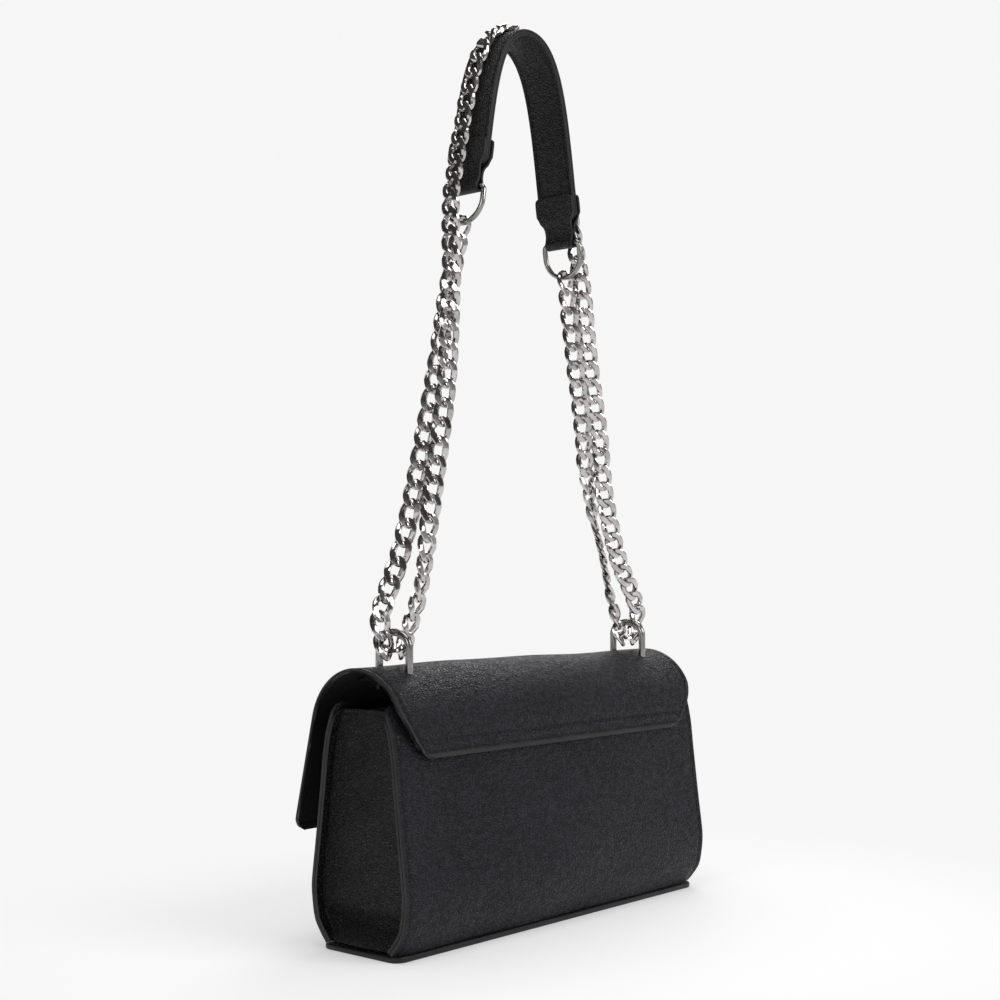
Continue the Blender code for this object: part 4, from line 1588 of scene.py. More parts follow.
    def paint_rim(
        self, bm: bmesh.types.BMesh, columns: Sequence[tuple], rows: Sequence[float]
    ) -> None:
        """Gives the cells along a layer's edge the edge paint.

        Args:
            bm: The layer's grid, whose faces still lie in the order of its cells.
            columns: Its columns, as shares and distances from the edge.
            rows: Its rows, as runs.
        """
        bm.faces.ensure_lookup_table()
        across = len(columns) - 1
        for index, face in enumerate(bm.faces):
            i, j = index % across, index // across
            inset = max(columns[i][1], columns[i + 1][1])
            middle = (rows[j] + rows[j + 1]) / 2
            front = self.length - middle
            if inset <= self.paint_band or middle < self.back_band or front < self.paint_band:
                face.material_index = 1

    def inset_path(self, inset: float) -> list[tuple[float, float]]:
        """A path round the flap at a distance from its edge, from back to front to back.

        Args:
            inset: The distance.

        Returns:
            Places along it, each as x and run.
        """
        runs = np.linspace(inset, self.length - inset, 160)
        side = [(self.half_width(run, inset), run) for run in runs]
        reach = side[-1][0]
        front = [(x, self.length - inset) for x in np.linspace(reach, -reach, 90)[1:-1]]
        return [*side, *front, *((-x, run) for x, run in reversed(side))]

    def build(self) -> None:
        """The flap's leather, backing and stitches."""
        leathers = ["flap", "flap_root"]
        self.layer("flap_leather", 0.0, self.leather, [LEATHER, PAINT, PAINT], leathers)
        self.layer(
            "flap_backing",
            self.leather + self.backing_under,
            self.backing,
            [BACKING_LEATHER_PAINTED_SHADE, PAINT, PAINT],
            ["flap_lining", "flap_root_lining"],
        )
        spots = [self.point(float(x), float(run)) for x, run in self.inset_path(self.edge_row)]
        rows = [stitch_row(spots, self.thread_sunk)]
        for run, margin in ((self.edge_row, self.row_margin), (self.upper_row, 0.0)):
            half = self.half_width(run) - self.edge_row - margin
            spots = [self.point(float(x), run) for x in np.linspace(-half, half, 90)]
            rows.append(stitch_row(spots, self.thread_sunk))
        SEWING.sew("flap_stitches", rows, Body.FLAP, blend=self.bend)

# --- Metalware of the flap ---


@dataclass
class Staples:
    """The two wire staples in the crown, with what holds them, and the snap."""

    flap: Flap
    spacing: float = 0.2132
    width: float = 0.0228
    wire: float = 4.3 * MM
    leg: float = 9.3 * MM
    rise: float = 0.0195
    plane: float = -0.002
    steps: int = 28

    def skin(self, y: float) -> float:
        """The height of the flap's outer face over the crown."""
        across = y - self.flap.centre_y
        return self.flap.hinge_height + math.sqrt(self.flap.crown_radius**2 - across**2)

    def build_staple(self, word: str, x: float) -> None:
        """One staple: two legs that meet in a round arch.

        Args:
            word: right or left.
            x: Where it stands along the width.
        """
        low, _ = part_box("staple_nut_" + word + "_back")
        shoulder = self.skin(self.plane) + self.leg
        rise = self.rise - self.wire / 2 - self.leg
        half = self.width / 2
        inside = [self.skin(self.plane + way * half) - self.flap.leather - MM for way in (1, -1)]
        points = [Vector((x, self.plane + half, z)) for z in (low.z, inside[0], shoulder - 2 * MM)]
        for step in range(self.steps + 1):
            angle = math.pi * step / self.steps
            y, z = self.plane + half * math.cos(angle), shoulder + rise * math.sin(angle)
            points.append(Vector((x, y, z)))
        points += [Vector((x, self.plane - half, z)) for z in (shoulder - 2 * MM, inside[1], low.z)]
        name = "staple_" + word + "_wire"
        mesh = round_wire(name, points, self.wire / 2, closed=False)
        # The arch is satin nickel. The legs below the flap's leather take the near-black steel as
        # painted shade under the flap.
        finishes = [SATIN_NICKEL, PAINTED_SHADE_STEEL]
        settle(name, mesh, finishes, Body.FLAP, Slot.SATIN, ["staple_" + word])
        for polygon in mesh.polygons:
            limit = inside[int(polygon.center.y < self.plane)]
            polygon.material_index = int(polygon.center.z < limit)

    def build(self) -> None:
        """Both staples, and the finish of the small solids that stay."""
        for word, x in (("right", self.spacing / 2), ("left", -self.spacing / 2)):
            self.build_staple(word, x)
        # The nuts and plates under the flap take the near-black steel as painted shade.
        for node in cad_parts:
            if node.startswith(("staple_nut", "staple_plate")):
                refinish(node, PAINTED_SHADE_STEEL)
        for node in ("snap_socket", "snap_stud"):
            refinish(node, SATIN_NICKEL)


# --- The strap ---


@dataclass
class Arch:
    """The pad's centre line in the strap's plane, measured from its top along each side."""

    top: float = 0.521
    centre: float = 0.006
    half_span: float = 0.0433
    drop: float = 0.106
    plane: float = -0.002
    run: float = 0.2484
    slip: float = 0.0096
    shares: tuple = ((0.0, 0.0), (0.69, 0.0), (0.776, 0.4415), (1.0, 1.0))
    span: float = 1.3 * MM

    def __post_init__(self) -> None:
        """Draws the line once."""
        control = np.array([(self.half_span * h, self.drop * d) for h, d in self.shares])
        t = np.linspace(0.0, 1.0, 241)[:, None]
        self.line = (
            (1 - t) ** 3 * control[0]
            + 3 * (1 - t) ** 2 * t * control[1]
            + 3 * (1 - t) * t**2 * control[2]
            + t**3 * control[3]
        )
        self.runs = runs_of(self.line)
        self.length = float(self.runs[-1])
        slope = control[3] - control[2]
        self.end_slope = slope / np.hypot(*slope)

    def flat(self, run: float) -> np.ndarray:
        """How far out from the top and how far below it the line lies at a run."""
        return np.array([np.interp(run, self.runs, self.line[:, k]) for k in (0, 1)])

    def at(self, run: float, lift: float = 0.0) -> tuple[Vector, Vector, Vector]:
        """A point of the arch, with the ways out of it and down along it.

        Args:
            run: How far it lies from the top, over 0 on the right side.
            lift: How far it lies outside the centre line.

        Returns:
            The point, the outward direction and the downward direction.
        """
        side = 1.0 if run >= 0 else -1.0
        run = abs(run)
        if run <= self.length:
            aside, below = self.flat(run)
            near, far = max(run - self.span, 0.0), min(run + self.span, self.length)
            slope = self.flat(far) - self.flat(near)
            slope = slope / np.hypot(*slope)
        else:
            slope = self.end_slope
            aside, below = self.line[-1] + slope * (run - self.length)
        if run < self.span:
            slope = np.array((1.0, slope[1] * run / self.span))
            slope = slope / np.hypot(*slope)
        down = Vector((side * slope[0], 0, -slope[1]))
        out = Vector((side * slope[1], 0, slope[0]))
        point = Vector((self.centre + side * aside, self.plane, self.top - below)) + out * lift
        return point, out, down

    def bar(self, side: int) -> float:
        """Where the D-ring's bar lies along the arch."""
        return side * (self.run / 2 - side * self.slip)


@dataclass
class ShoulderPad:
    """The leather pad over the shoulder, with its tabs and D-rings."""

    arch: Arch
    width: float = 0.027
    leather: float = 1.1 * MM
    core: float = 1.2 * MM
    gap: float = 0.3 * MM
    end: float = 0.0134
    end_share: float = 0.72
    row: float = 2.4 * MM
    crown: float = 0.9 * MM
    crown_start: float = 22.0 * MM
    thread_sunk: float = 0.12 * MM
    row_dip: float = 0.3 * MM
    tab_width: float = 0.0284
    tab_neck: float = 0.0205
    tab_length: float = 0.029
    shoulder: float = 0.0172
    tab: float = 1.4 * MM
    tab_play: float = 0.35 * MM
    tab_corner: float = 3.0 * MM
    tab_rows_back: tuple = (0.0266, 0.0180)
    tab_columns: tuple = (-1.0, -0.96, -0.88, -0.6, -0.3, 0.0, 0.3, 0.6, 0.88, 0.96, 1.0)
    fold_deg: float = 50.0
    tab_row_margin: float = 3.4 * MM
    ring_width: float = 0.030
    ring_height: float = 0.024
    ring_wire: float = 3.2 * MM
    ring_corner: float = 3.0 * MM
    ring_shoulder: float = 8.0 * MM
    filler_play: float = 0.06 * MM
    filler_extra: float = 0.48 * MM

    @property
    def total(self) -> float:
        """The thickness of the whole pad."""
        return 2 * self.leather + 2 * self.gap + self.core

    @property
    def lap(self) -> float:
        """How far the tab's inner face lies from the pad's centre line."""
        return self.total / 2 + self.gap + self.tab_play

    def swell(self, y: float, run: float, ends: tuple[float, float]) -> float:
        """How far the pad's faces swell over its filler.

        Args:
            y: The distance from the middle of its width.
            run: The place along the arch.
            ends: Where the pad begins and ends along the arch.

        Returns:
            The swelling.
        """
        across = max(0.0, 1.0 - (abs(y) / (self.width / 2 - self.row)) ** 2)
        along = min(abs(run - ends[0]), abs(run - ends[1])) / self.crown_start
        return self.crown * across * min(along, 1.0)

    def layer(
        self,
        name: str,
        lift: float,
        thickness: float,
        face: int,
        finishes: Sequence[Finish],
        node: str,
    ) -> None:
        """One layer of the pad.

        Args:
            name: The piece's name.
            lift: The height of its inner face over the pad's centre line.
            thickness: Its thickness.
            face: 1 if its upper face swells and shows stitches, -1 for the lower, 0 for neither.
            finishes: Its materials, the edge's second.
            node: The solid that it stands for.
        """
        arch = self.arch
        ends = (arch.bar(-1) + self.end, arch.bar(1) - self.end)
        taper = self.shoulder - self.end
        rows = stations(*ends, 3.0 * MM, (ends[0] + taper, ends[1] - taper))
        seam = self.width / 2 - self.row
        columns = stations(-self.width / 2, self.width / 2, 3.0 * MM, (-seam, seam))

        def place(column: float, run: float) -> Vector:
            """A point of the layer's grid.

            Args:
                column: Its place across the pad.
                run: Its place along the arch.

            Returns:
                The point.
            """
            y = -column
            push = self.swell(y, run, ends) - dip(abs(y) - seam, self.row_dip) if face else 0.0
            point, _, _ = arch.at(run, lift + push * face)
            left = min(run - ends[0], ends[1] - run)
            point.y += y * (self.end_share + (1.0 - self.end_share) * min(left / taper, 1.0))
            return point

        bm = grid_over(columns, rows, place)
        mesh = mesh_of(bm, name, SOFT_DEG)
        piece = settle(name, mesh, finishes, Body.STRAP, Slot.LEATHER, [node])
        thicken(piece, thickness, 1, 0.38)
        if not face:
            return
        sewn = []
        surface = lift + (thickness if face > 0 else 0.0)
        for y in (-seam, seam):
            spots = []
            for run in np.linspace(ends[0] + 2 * taper, ends[1] - 2 * taper, 150):
                point, out, _ = arch.at(float(run), surface)
                spots.append((point + Vector((0, y, 0)), out * face))
            sewn.append(stitch_row(spots, self.thread_sunk))
        SEWING.sew(name + "_stitches", sewn, Body.STRAP)

    def tab_rows(self) -> list[tuple[float, float, float]]:
        """The folded tab as rows: way back from the bar, lift and half width.

        Returns:
            The rows from one lap's end round the bar to the other's.
        """
        lap = self.lap
        wrap = self.ring_wire / 2 + 1.5 * self.gap
        wide, neck = self.tab_width / 2, self.tab_neck / 2
        leg = [
            (self.tab_length, lap, wide - self.tab_corner),
            (self.tab_length - 0.25 * self.tab_corner, lap, wide - 0.35 * self.tab_corner),
            (self.tab_length - self.tab_corner, lap, wide),
            (self.shoulder + 1.2 * MM, lap, wide),
            (self.shoulder, lap, wide * 0.975),
            (self.shoulder - 1.5 * MM, lap * 0.99, (wide + neck) * 0.53),
            (self.end + 0.2 * MM, lap * 0.92, wide * 0.35 + neck * 0.68),
            (self.end - 1.6 * MM, lap * 0.60, neck * 1.05),
            (9.6 * MM, lap * 0.32, neck * 1.01),
            (7.2 * MM, 0.55 * MM, neck),
            (4.6 * MM, 0.55 * MM, neck),
        ]
        bend = []
        for angle in np.radians(np.linspace(self.fold_deg, 360.0 - self.fold_deg, 13)):
            bend.append((wrap * math.cos(angle), wrap * math.sin(angle), neck))
        return leg + bend + [(back, -lift, half) for back, lift, half in reversed(leg)]

    def build_tab(self, word: str, side: int) -> None:
        """The tab that folds round the D-ring's bar and laps over both faces of the pad.

        Args:
            word: right or left.
            side: 1 for the right and -1 for the left.
        """
        rows = smooth_line([Vector(row) for row in self.tab_rows()], 3)
        arch = self.arch
        bar = arch.bar(side)

        def place(column: float, row: Sequence[float]) -> Vector:
            """A point of the tab's grid.

            Args:
                column: Its share of the half width.
                row: How far back it lies from the bar, its lift and the half width.

            Returns:
                The point.
            """
            back, lift, half = row
            point, _, _ = arch.at(bar - side * back, lift)
            point.y += side * half * column
            return point

        node = "pad_tab_" + word
        name = node + "_leather"
        mesh = mesh_of(grid_over(self.tab_columns, rows, place), name, SOFT_DEG)
        piece = settle(name, mesh, [PAD_LEATHER, PAINT], Body.STRAP, Slot.LEATHER, [node])
        thicken(piece, self.tab, -1, 0.38)
        reach = self.tab_width / 2 - self.tab_row_margin
        sewn = []
        for face in (1, -1):
            for back in self.tab_rows_back:
                point, out, _ = arch.at(bar - side * back, (self.lap + self.tab) * face)
                across = [Vector((0, float(y), 0)) for y in np.linspace(-reach, reach, 12)]
                spots = [(point + step, out * face) for step in across]
                sewn.append(stitch_row(spots, self.thread_sunk))
        SEWING.sew(node + "_stitches", sewn, Body.STRAP)

    def build_ring(self, word: str, side: int) -> None:
        """A D-ring that hangs from its bar.

        Args:
            word: right or left.
            side: 1 for the right and -1 for the left.
        """
        bar, _, down = self.arch.at(self.arch.bar(side))
        half = (self.ring_width - self.ring_wire) / 2
        drop = self.ring_height - self.ring_wire
        right = []
        for step in range(5):
            angle = math.pi / 2 * step / 4
            y = half - self.ring_corner * (1 - math.sin(angle))
            right.append((y, self.ring_corner * (1 - math.cos(angle))))
        for step in range(15):
            angle = math.pi / 2 * step / 14
            low = self.ring_shoulder + (drop - self.ring_shoulder) * math.sin(angle)
            right.append((half * math.cos(angle), low))
        outline = right + [(-y, low) for y, low in reversed(right[:-1])]
        points = [bar + Vector((0, y, 0)) + down * low for y, low in outline]
        node = "d_ring_" + word
        name = node + "_wire"
        mesh = round_wire(name, points, self.ring_wire / 2, closed=True)
        settle(name, mesh, [SATIN_NICKEL], Body.STRAP, Slot.SATIN, [node])

    def build(self) -> None:
        """The pad's layers, tabs and rings."""
        finishes = [PAD_LEATHER, PAINT]
        base = -self.total / 2
        middle = base + self.leather + self.filler_play
        upper = base + self.leather + self.core + 2 * self.gap
        core = self.core + self.filler_extra
        self.layer("pad_inner_leather", base, self.leather, -1, finishes, "pad_lining")
        self.layer("pad_filler", middle, core, 0, [PAINT, PAINT], "pad_core")
        self.layer("pad_outer_leather", upper, self.leather, 1, finishes, "pad_outer")
        for word, side in (("right", 1), ("left", -1)):
            self.build_tab(word, side)
            self.build_ring(word, side)


@dataclass(frozen=True)
class Way:
    """How one strand runs from its staple to its upper end.

    shares: how far it has come sideways, and upwards, at chosen places.
    sway: chosen shares of its height, and how far it leaves the strap's plane there, in mm.
    rolls: chosen shares of its length, and how far its links are turned there, in degrees.
    """

    shares: tuple
    sway: tuple
    lean_deg: float
    rolls: tuple


def read_off(table: tuple, share: float | np.ndarray) -> np.ndarray:
    """What a table of shares and values gives at one share or many."""
    return np.interp(share, *table)


@dataclass
class CurbChain:
    """The polished curb chain, each link twisted and ground flat on both faces."""

    arch: Arch
    pad: ShoulderPad
    pitch: float = 0.0106
    link_pitch: float = 0.0111
    width: float = 0.012
    wire: float = 3.5 * MM
    hooked_wire: float = 3.0 * MM
    bite: float = 0.4 * MM
    flank: float = 0.06
    twist: float = 2.0 * MM
    ground: float = 2.15 * MM
    slack: float = 0.7 * MM
    hook_gap: float = 0.3 * MM
    lift_top: float = 4.8 * MM
    lift_end: float = 12.5 * MM
    spacing: float = 0.2132
    swing_z: float = 0.16019
    seat_out: float = 0.52
    seat_down: float = 0.39
    solid_wire: float = 2.8 * MM
    cells_along: int = 20
    cells_round: int = 8
    crease_deg: float = 32.0
    jitter_deg: float = 6.0
    jitter_turn: float = 2.4
    outer_right: Way = Way(
        shares=(
            (0.18, 0.29, 0.47, 0.68, 0.79, 0.86, 0.92),
            (0.08, 0.16, 0.33, 0.50, 0.62, 0.80, 0.91),
        ),
        sway=((0.0, 0.14, 0.84, 1.0), (0.0, 5.2, 5.2, 0.0)),
        lean_deg=75.0,
        rolls=((0.0, 0.17, 0.33, 0.65, 1.0), (90.0, 103.0, 52.0, 41.0, 0.0)),
    )
    inner_right: Way = Way(
        shares=((0.03, 0.13, 0.29, 0.50, 0.79), (0.11, 0.16, 0.25, 0.43, 0.72)),
        sway=((0.0, 0.12, 0.84, 1.0), (0.0, -5.2, -5.2, 0.0)),
        lean_deg=80.0,
        rolls=(
            (0.0, 0.10, 0.22, 0.62, 0.9, 1.0),
            (80.0, 62.0, 48.0, 41.0, 62.0, 90.0),
        ),
    )
    inner_left: Way = Way(
        shares=(
            (0.27, 0.42, 0.53, 0.63, 0.73, 0.86),
            (0.24, 0.33, 0.42, 0.50, 0.63, 0.79),
        ),
        sway=((0.0, 0.14, 0.38, 0.62, 0.85, 1.0), (0.0, -3.8, -3.4, 0.6, 0.6, 0.0)),
        lean_deg=75.0,
        rolls=(
            (0.0, 0.12, 0.28, 0.48, 0.65, 0.9, 1.0),
            (90.0, 118.0, 130.0, 78.0, 58.0, 64.0, 90.0),
        ),
    )
    outer_left: Way = Way(
        shares=(
            (0.05, 0.17, 0.34, 0.555, 0.64, 0.80, 0.91),
            (0.11, 0.15, 0.21, 0.36, 0.50, 0.67, 0.85),
        ),
        sway=((0.0, 0.14, 0.84, 1.0), (0.0, 3.8, 3.8, 0.0)),
        lean_deg=79.0,
        rolls=((0.0, 0.10, 0.28, 0.75, 1.0), (83.0, 70.0, 46.0, 41.0, 0.0)),
    )

    def link(self, pitch: float, wire: float) -> bpy.types.Mesh:
        """One link: a twisted oval of round wire with both faces ground flat.

        Args:
            pitch: How far apart the links lie.
            wire: The thickness of its wire.

        Returns:
            The link's mesh, lying along X with its width along Y.
        """
        long_half = (pitch + wire - self.bite) / 2
        wide_half = (self.width - wire * (1.0 + self.flank)) / 2

        def place(i: int, j: int) -> Vector:
            """A point of the link's skin.

            Args:
                i: Its place along the link.
                j: Its place round the wire.

            Returns:
                The point.
            """
            t = 2 * math.pi * (i % self.cells_along + 0.5) / self.cells_along
            x, y = long_half * math.cos(t), wide_half * math.sin(t)
            centre = Vector((x, y, -self.twist * math.sin(2 * t)))
            slope = (-long_half * math.sin(t), wide_half * math.cos(t))
            along = Vector((*slope, -2 * self.twist * math.cos(2 * t))).normalized()
            out = Vector((math.cos(t) / long_half, math.sin(t) / wide_half, 0.0))
            out = (out - along * out.dot(along)).normalized()
            up = along.cross(out)
            a = 2 * math.pi * (j % self.cells_round) / self.cells_round
            broad = 1.0 + self.flank * math.sin(t) ** 2
            point = centre + (out * math.cos(a) * broad + up * math.sin(a)) * wire / 2
            point.z = max(-self.ground, min(self.ground, point.z))
            return point

        bm = laid_grid(self.cells_along, self.cells_round, place, closed=True)
        bmesh.ops.recalc_face_normals(bm, faces=bm.faces)
        mesh = bpy.data.meshes.new("link")
        bm.to_mesh(mesh)
        bm.free()
        return mesh

    def pose(self, centre: Vector, along: Vector, roll: float) -> Matrix:
        """The frame of a link.

        Args:
            centre: Its middle.
            along: The way along the strand.
            roll: How far its width is turned from the Y axis.

        Returns:
            The matrix.
        """
        along = along.normalized()
        width = Vector((0, 1, 0))
        width = (width - along * width.dot(along)).normalized()
        thick = along.cross(width)
        turned = width * math.cos(roll) + thick * math.sin(roll)
        turn = Matrix((along, turned, along.cross(turned))).transposed().to_4x4()
        return Matrix.Translation(centre) @ turn

    def strand(
        self,
        node: str,
        line: np.ndarray,
        rolls: tuple,
        overrun: tuple = (0.0, 0.0),
        hooks: tuple = (),
    ) -> None:
        """A run of linked links along a line.

        Args:
            node: The solid that it stands for.
            line: Close points along its middle.
            rolls: Its links' turn along the way, in degrees.
            overrun: How far it runs past the line's start and end.
            hooks: Which links, 0 the first and -1 the last, hook another piece with thinner wire.
        """
        for end, before, length in ((-1, -2, overrun[1]), (0, 1, overrun[0])):
            step = line[end] - line[before]
            line[end] = line[end] + step / np.linalg.norm(step) * length
        length = float(runs_of(line)[-1])
        count = max(round(length / self.link_pitch), 2)
        places = even_places(line, count)
        unit, hook = (self.link(length / count, wire) for wire in (self.wire, self.hooked_wire))
        hooked = [index % count for index in hooks]
        bm = bmesh.new()
        for index in range(count):
            start, end = Vector(places[index]), Vector(places[index + 1])
            share = (index + 0.5) / count
            jitter = math.sin(index * self.jitter_turn) * math.sin(math.pi * share)
            roll = math.radians(float(read_off(rolls, share)) + self.jitter_deg * jitter)
            piece = (hook if index in hooked else unit).copy()
            piece.transform(self.pose((start + end) / 2, end - start, roll))
            bm.from_mesh(piece)
            bpy.data.meshes.remove(piece)
        bpy.data.meshes.remove(unit)
        bpy.data.meshes.remove(hook)
        name = node + "_links"
        mesh = mesh_of(bm, name, self.crease_deg)
        settle(name, mesh, [CHAIN_STEEL], Body.STRAP, Slot.CHAIN, [node])

    def seat(self, x: float, side: int, lean_deg: float) -> tuple[Vector, Vector]:
        """Where a strand hooks into the link in the staple.

        Args:
            x: The staple's place along the width.
            side: 1 for the strand on the link's right and -1 for the one on its left.
            lean_deg: How steeply the strand leaves, in degrees over the horizon.

        Returns:
            The strand's first point and its first direction.
        """
        lean = math.radians(lean_deg)
        along = Vector((side * math.cos(lean), 0, math.sin(lean)))
        shift = Vector((side * self.seat_out, 0, -self.seat_down)) * self.pitch
        return Vector((x, self.arch.plane, self.swing_z)) + shift, along

    def route(self, start: Vector, along: Vector, end: Vector, way: Way) -> np.ndarray:
        """A strand's line: off its seat, along its way, to its end.

        Args:
            start: Its first point.
            along: Its first direction.
            end: Its last point.
            way: How it runs between them.

        Returns:
            Close points along it.
        """
        points = [start, start + along * self.pitch * 0.9, start + along * self.pitch * 1.8]
        low = points[-1].z
        for sideways, upward in zip(*way.shares):
            z = start.z + (end.z - start.z) * upward
            if z > low + self.pitch / 2:
                x = start.x + (end.x - start.x) * sideways
                points.append(Vector((x, self.arch.plane, z)))
        points.append(end)
        line = smooth_line(points)
        share = np.clip((line[:, 2] - start.z) / (end.z - start.z), 0.0, 1.0)
        line[:, 1] += read_off(way.sway, share) * MM
        return line

    def build_staple_link(self, word: str, x: float) -> None:
        """The link that lies through a staple.

        Args:
            word: right or left.
            x: The staple's place along the width.
        """
        mesh = self.link(self.pitch, self.hooked_wire)
        middle = Vector((x, self.arch.plane, self.swing_z))
        mesh.transform(self.pose(middle, Vector((1, 0, 0)), 0.0))
        mesh.shade_smooth()
        mesh.set_sharp_from_angle(angle=math.radians(self.crease_deg))
        node = "chain_staple_link_" + word
        settle(node + "_wire", mesh, [CHAIN_STEEL], Body.STRAP, Slot.CHAIN, [node])

    def crest_line(self) -> np.ndarray:
        """The strand over the pad.

        Returns:
            Close points along it, from left to right.
        """
        points = []
        for share in np.linspace(-1.0, 1.0, 161):
            lift = self.lift_top + (self.lift_end - self.lift_top) * abs(float(share))
            points.append(tuple(self.arch.at(self.arch.length * float(share), lift)[0]))
        return np.array(points)

    def ring_end(self, side: int) -> Vector:
        """Where an inner strand ends in its D-ring.

        Args:
            side: 1 for the right ring and -1 for the left.

        Returns:
            The end of the strand's line.
        """
        bar, _, down = self.arch.at(self.arch.bar(side))
        past = (self.solid_wire - self.bite) / 2
        to_link = self.pad.ring_wire / 2 + self.hook_gap + self.solid_wire / 2 - past
        return bar + down * (self.pad.ring_height - self.pad.ring_wire - to_link)

    def build(self) -> None:
        """All strands of the chain."""
        crest = self.crest_line()
        half = self.slack / 2
        for word, side, outer, inner in (
            ("right", 1, self.outer_right, self.inner_right),
            ("left", -1, self.outer_left, self.inner_left),
        ):
            x = side * self.spacing / 2
            self.build_staple_link(word, x)
            top = Vector(crest[-1] if side > 0 else crest[0])
            line = self.route(*self.seat(x, -1, outer.lean_deg), top, outer)
            self.strand("chain_outer_" + word, line, outer.rolls, (0.0, half), hooks=(0,))
            line = self.route(*self.seat(x, 1, inner.lean_deg), self.ring_end(side), inner)
            self.strand("chain_inner_" + word, line, inner.rolls, hooks=(0, -1))
        self.strand("chain_over_pad", crest, ((0.0, 1.0), (0.0, 0.0)), (half, half))


# --- The studio ---


@dataclass
class Softbox:
    """One soft lamp."""

    name: str
    place: tuple[float, float, float]
    aim: tuple[float, float, float]
    width: float
    power: float



@dataclass(frozen=True)
class Glow:
    """A lit part of the room that the metal mirrors.

    azimuth: its direction along the horizon, in degrees from +X towards +Y.
    low, high: the cosines of the angle from there at which its light begins and is full.
    """

    azimuth: float
    low: float
    high: float
    level: float


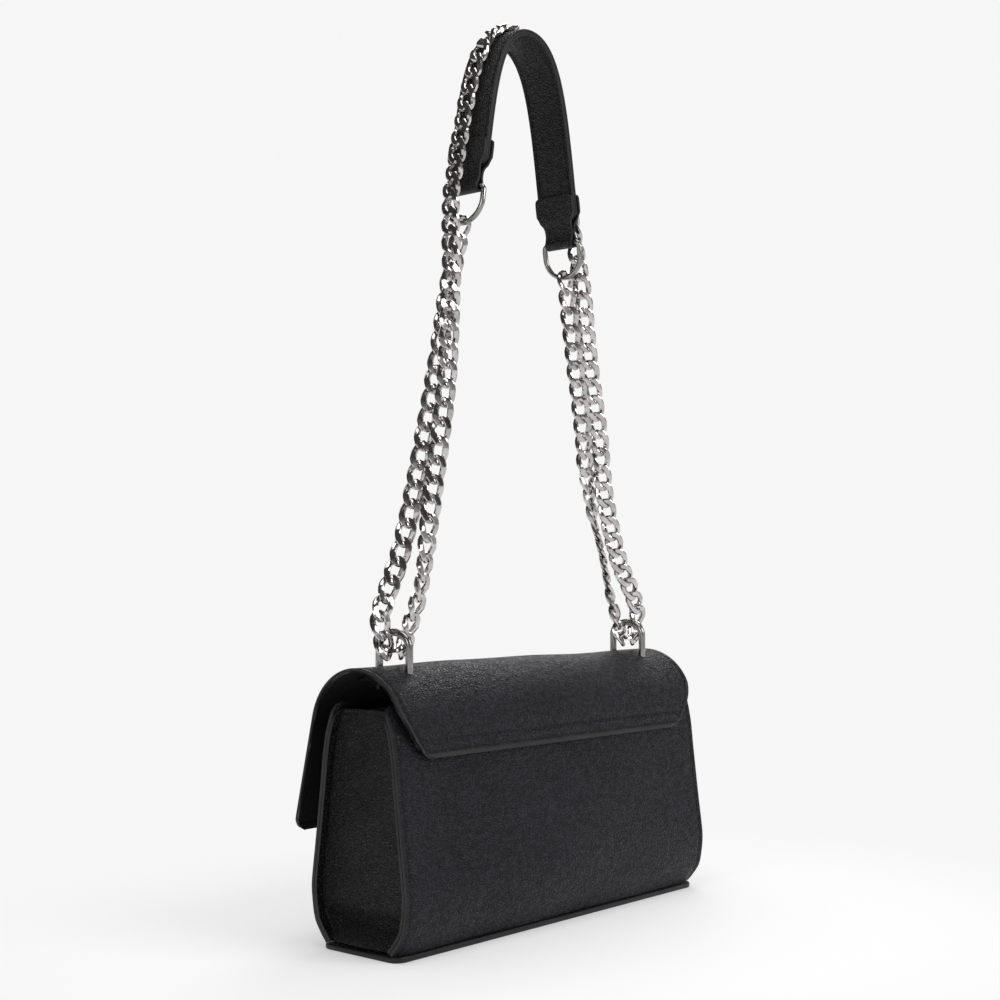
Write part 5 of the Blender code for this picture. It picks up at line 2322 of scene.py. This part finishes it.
@dataclass
class Studio:
    """Pale floor and background, soft lamps and the camera."""

    eye: tuple = (0.7292, 0.6131, 0.2044)
    target: tuple = (0.0100, -0.0096, 0.2440)
    lens: float = 57.7
    sensor: float = 36.0
    background: float = 0.925
    ceiling: float = 0.06
    wall_top: tuple = (0.34, 0.60)
    fill: float = 0.52
    floor_half: float = 6.0
    floor_drop: float = 0.05 * MM
    floor_tone: float = 0.92
    floor_fade: tuple = (0.15, 0.40)
    floor_least: float = 0.36
    lamps: tuple = (
        Softbox("key_softbox", (-0.35, 1.45, 1.15), (0.0, 0.0, 0.15), 0.9, 13.0),
        Softbox("top_softbox", (0.05, 0.10, 1.90), (0.0, 0.0, 0.15), 1.0, 9.5),
        Softbox("rim_softbox", (-1.45, -0.80, 1.60), (0.0, 0.0, 0.15), 1.0, 12.5),
        Softbox("side_softbox", (1.7, 0.3, 0.9), (0.0, 0.0, 0.25), 0.6, 5.0),
    )
    glows: tuple = (
        Glow(221.0, 0.45, 0.85, 1.0),
        Glow(138.0, 0.35, 0.95, 0.42),
        Glow(30.0, 0.80, 0.97, 0.40),
    )

    def build_camera(self) -> None:
        """The camera at the photograph's place."""
        data = bpy.data.cameras.new("camera")
        data.lens = self.lens
        data.sensor_width = self.sensor
        data.clip_start = 0.01
        camera = bpy.data.objects.new("camera", data)
        bpy.context.scene.collection.objects.link(camera)
        camera.location = self.eye
        way = Vector(self.target) - Vector(self.eye)
        camera.rotation_euler = way.to_track_quat("-Z", "Y").to_euler()
        bpy.context.scene.camera = camera

    def build_lamps(self) -> None:
        """The soft lamps."""
        for box in self.lamps:
            data = bpy.data.lights.new(box.name, "AREA")
            data.shape = "SQUARE"
            data.size = box.width
            data.energy = box.power
            lamp = bpy.data.objects.new(box.name, data)
            bpy.context.scene.collection.objects.link(lamp)
            lamp.location = box.place
            way = Vector(box.aim) - Vector(box.place)
            lamp.rotation_euler = way.to_track_quat("-Z", "Y").to_euler()

    def seen(self, recipe: Recipe) -> tuple[Signal, Signal]:
        """What kind of ray meets the surface.

        Args:
            recipe: The recipe that asks.

        Returns:
            1 for what the camera sees straight, and 1 for what it sees in metal or through glass.
        """
        path = recipe.node("ShaderNodeLightPath")
        mirrored = path.out("Is Glossy Ray") + path.out("Is Transmission Ray")
        return path.out("Is Camera Ray"), mirrored

    def toward(self, recipe: Recipe, way: Signal, glow: Glow) -> Signal:
        """The light of one glow.

        Args:
            recipe: The world's recipe.
            way: The direction that is looked in.
            glow: The glow.

        Returns:
            Its level near its middle, and 0 away from it.
        """
        turn = math.radians(glow.azimuth)
        spot = (math.cos(turn), math.sin(turn), 0.0)
        near = recipe.vector("DOT_PRODUCT", {0: way, 1: spot}).out("Value")
        return recipe.remap(near, glow.low, glow.high, 0.0, glow.level)

    def build_world(self) -> None:
        """A pale background, a soft fill from above, and the room that metal mirrors."""
        world = bpy.data.worlds.new("studio_world")
        world.use_nodes = True
        bpy.context.scene.world = world
        recipe = Recipe(world.node_tree)
        way = recipe.node("ShaderNodeTexCoord").out("Generated")
        height = recipe.node("ShaderNodeSeparateXYZ", {}, {0: way}).out("Z")
        above = recipe.remap(height, -0.2, 0.9, 0.35, 1.0)
        tone = recipe.colours(above, (0.0, 0.0, 0.0), (1.0, 1.0, 1.0))
        lit = recipe.node("ShaderNodeBackground", {}, {"Color": tone, "Strength": self.fill})
        straight, mirrored = self.seen(recipe)
        walls = recipe.remap(height, *self.wall_top, 1.0, 0.0)
        level = sum(self.toward(recipe, way, glow) for glow in self.glows) * walls
        plain = (self.background,) * 3
        room = recipe.colours(level, (self.background * self.ceiling,) * 3, plain)
        scene = recipe.node("ShaderNodeBackground", {}, {"Color": room, "Strength": 1.0})
        pale = recipe.node("ShaderNodeBackground", {}, {"Color": plain, "Strength": 1.0})
        shown = recipe.node("ShaderNodeMixShader", {}, {0: straight, 1: scene, 2: pale})
        mixed = recipe.node("ShaderNodeMixShader", {}, {0: straight + mirrored, 1: lit, 2: shown})
        recipe.node("ShaderNodeOutputWorld", {}, {"Surface": mixed})

    def floor_material(self) -> bpy.types.Material:
        """A matt floor near the bag that fades into the background's colour.

        Returns:
            The material.
        """
        material = bpy.data.materials.new("studio_floor")
        material.use_nodes = True
        recipe = Recipe(material.node_tree)
        far = recipe.vector("LENGTH", {0: recipe.place()}).out("Value")
        plain = recipe.remap(far, *self.floor_fade, self.floor_least, 1.0)
        tone, pale = (self.floor_tone,) * 3, (self.background,) * 3
        matt = recipe.node("ShaderNodeBsdfDiffuse", {}, {"Color": tone})
        glow = recipe.node("ShaderNodeEmission", {}, {"Color": pale, "Strength": 1.0})
        straight, mirrored = self.seen(recipe)
        share = plain * (straight + mirrored)
        mixed = recipe.node("ShaderNodeMixShader", {}, {0: share, 1: matt, 2: glow})
        recipe.node("ShaderNodeOutputMaterial", {}, {"Surface": mixed})
        return material

    def build_floor(self) -> None:
        """A pale floor that keeps the bag's shadow."""
        bm = bmesh.new()
        bmesh.ops.create_grid(bm, x_segments=1, y_segments=1, size=self.floor_half)
        bmesh.ops.translate(bm, vec=(0, 0, -self.floor_drop), verts=bm.verts)
        mesh = bpy.data.meshes.new("studio_floor")
        bm.to_mesh(mesh)
        bm.free()
        mesh.materials.append(self.floor_material())
        floor = bpy.data.objects.new("studio_floor", mesh)
        bpy.context.scene.collection.objects.link(floor)
        floor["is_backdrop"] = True

    def build(self) -> None:
        """Everything round the object."""
        bpy.context.scene.view_settings.view_transform = "Standard"
        self.build_camera()
        self.build_lamps()
        self.build_world()
        self.build_floor()


def note_sizes() -> None:
    """Works out the solids' box and the dressed model's box, but does nothing with them."""
    plain = [[list(corner) for corner in box] for box in (SOLID_BOX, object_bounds())]


def main() -> None:
    """Builds the studio and every sub-assembly in order."""
    logging.basicConfig(level=logging.INFO, format="%(message)s")
    Studio().build()
    shape = BagShape()
    BagBody(shape).build()
    flap = Flap(shape)
    flap.build()
    Staples(flap).build()
    arch = Arch()
    pad = ShoulderPad(arch)
    pad.build()
    CurbChain(arch, pad).build()
    note_sizes()


if __name__ == "__main__":
    main()
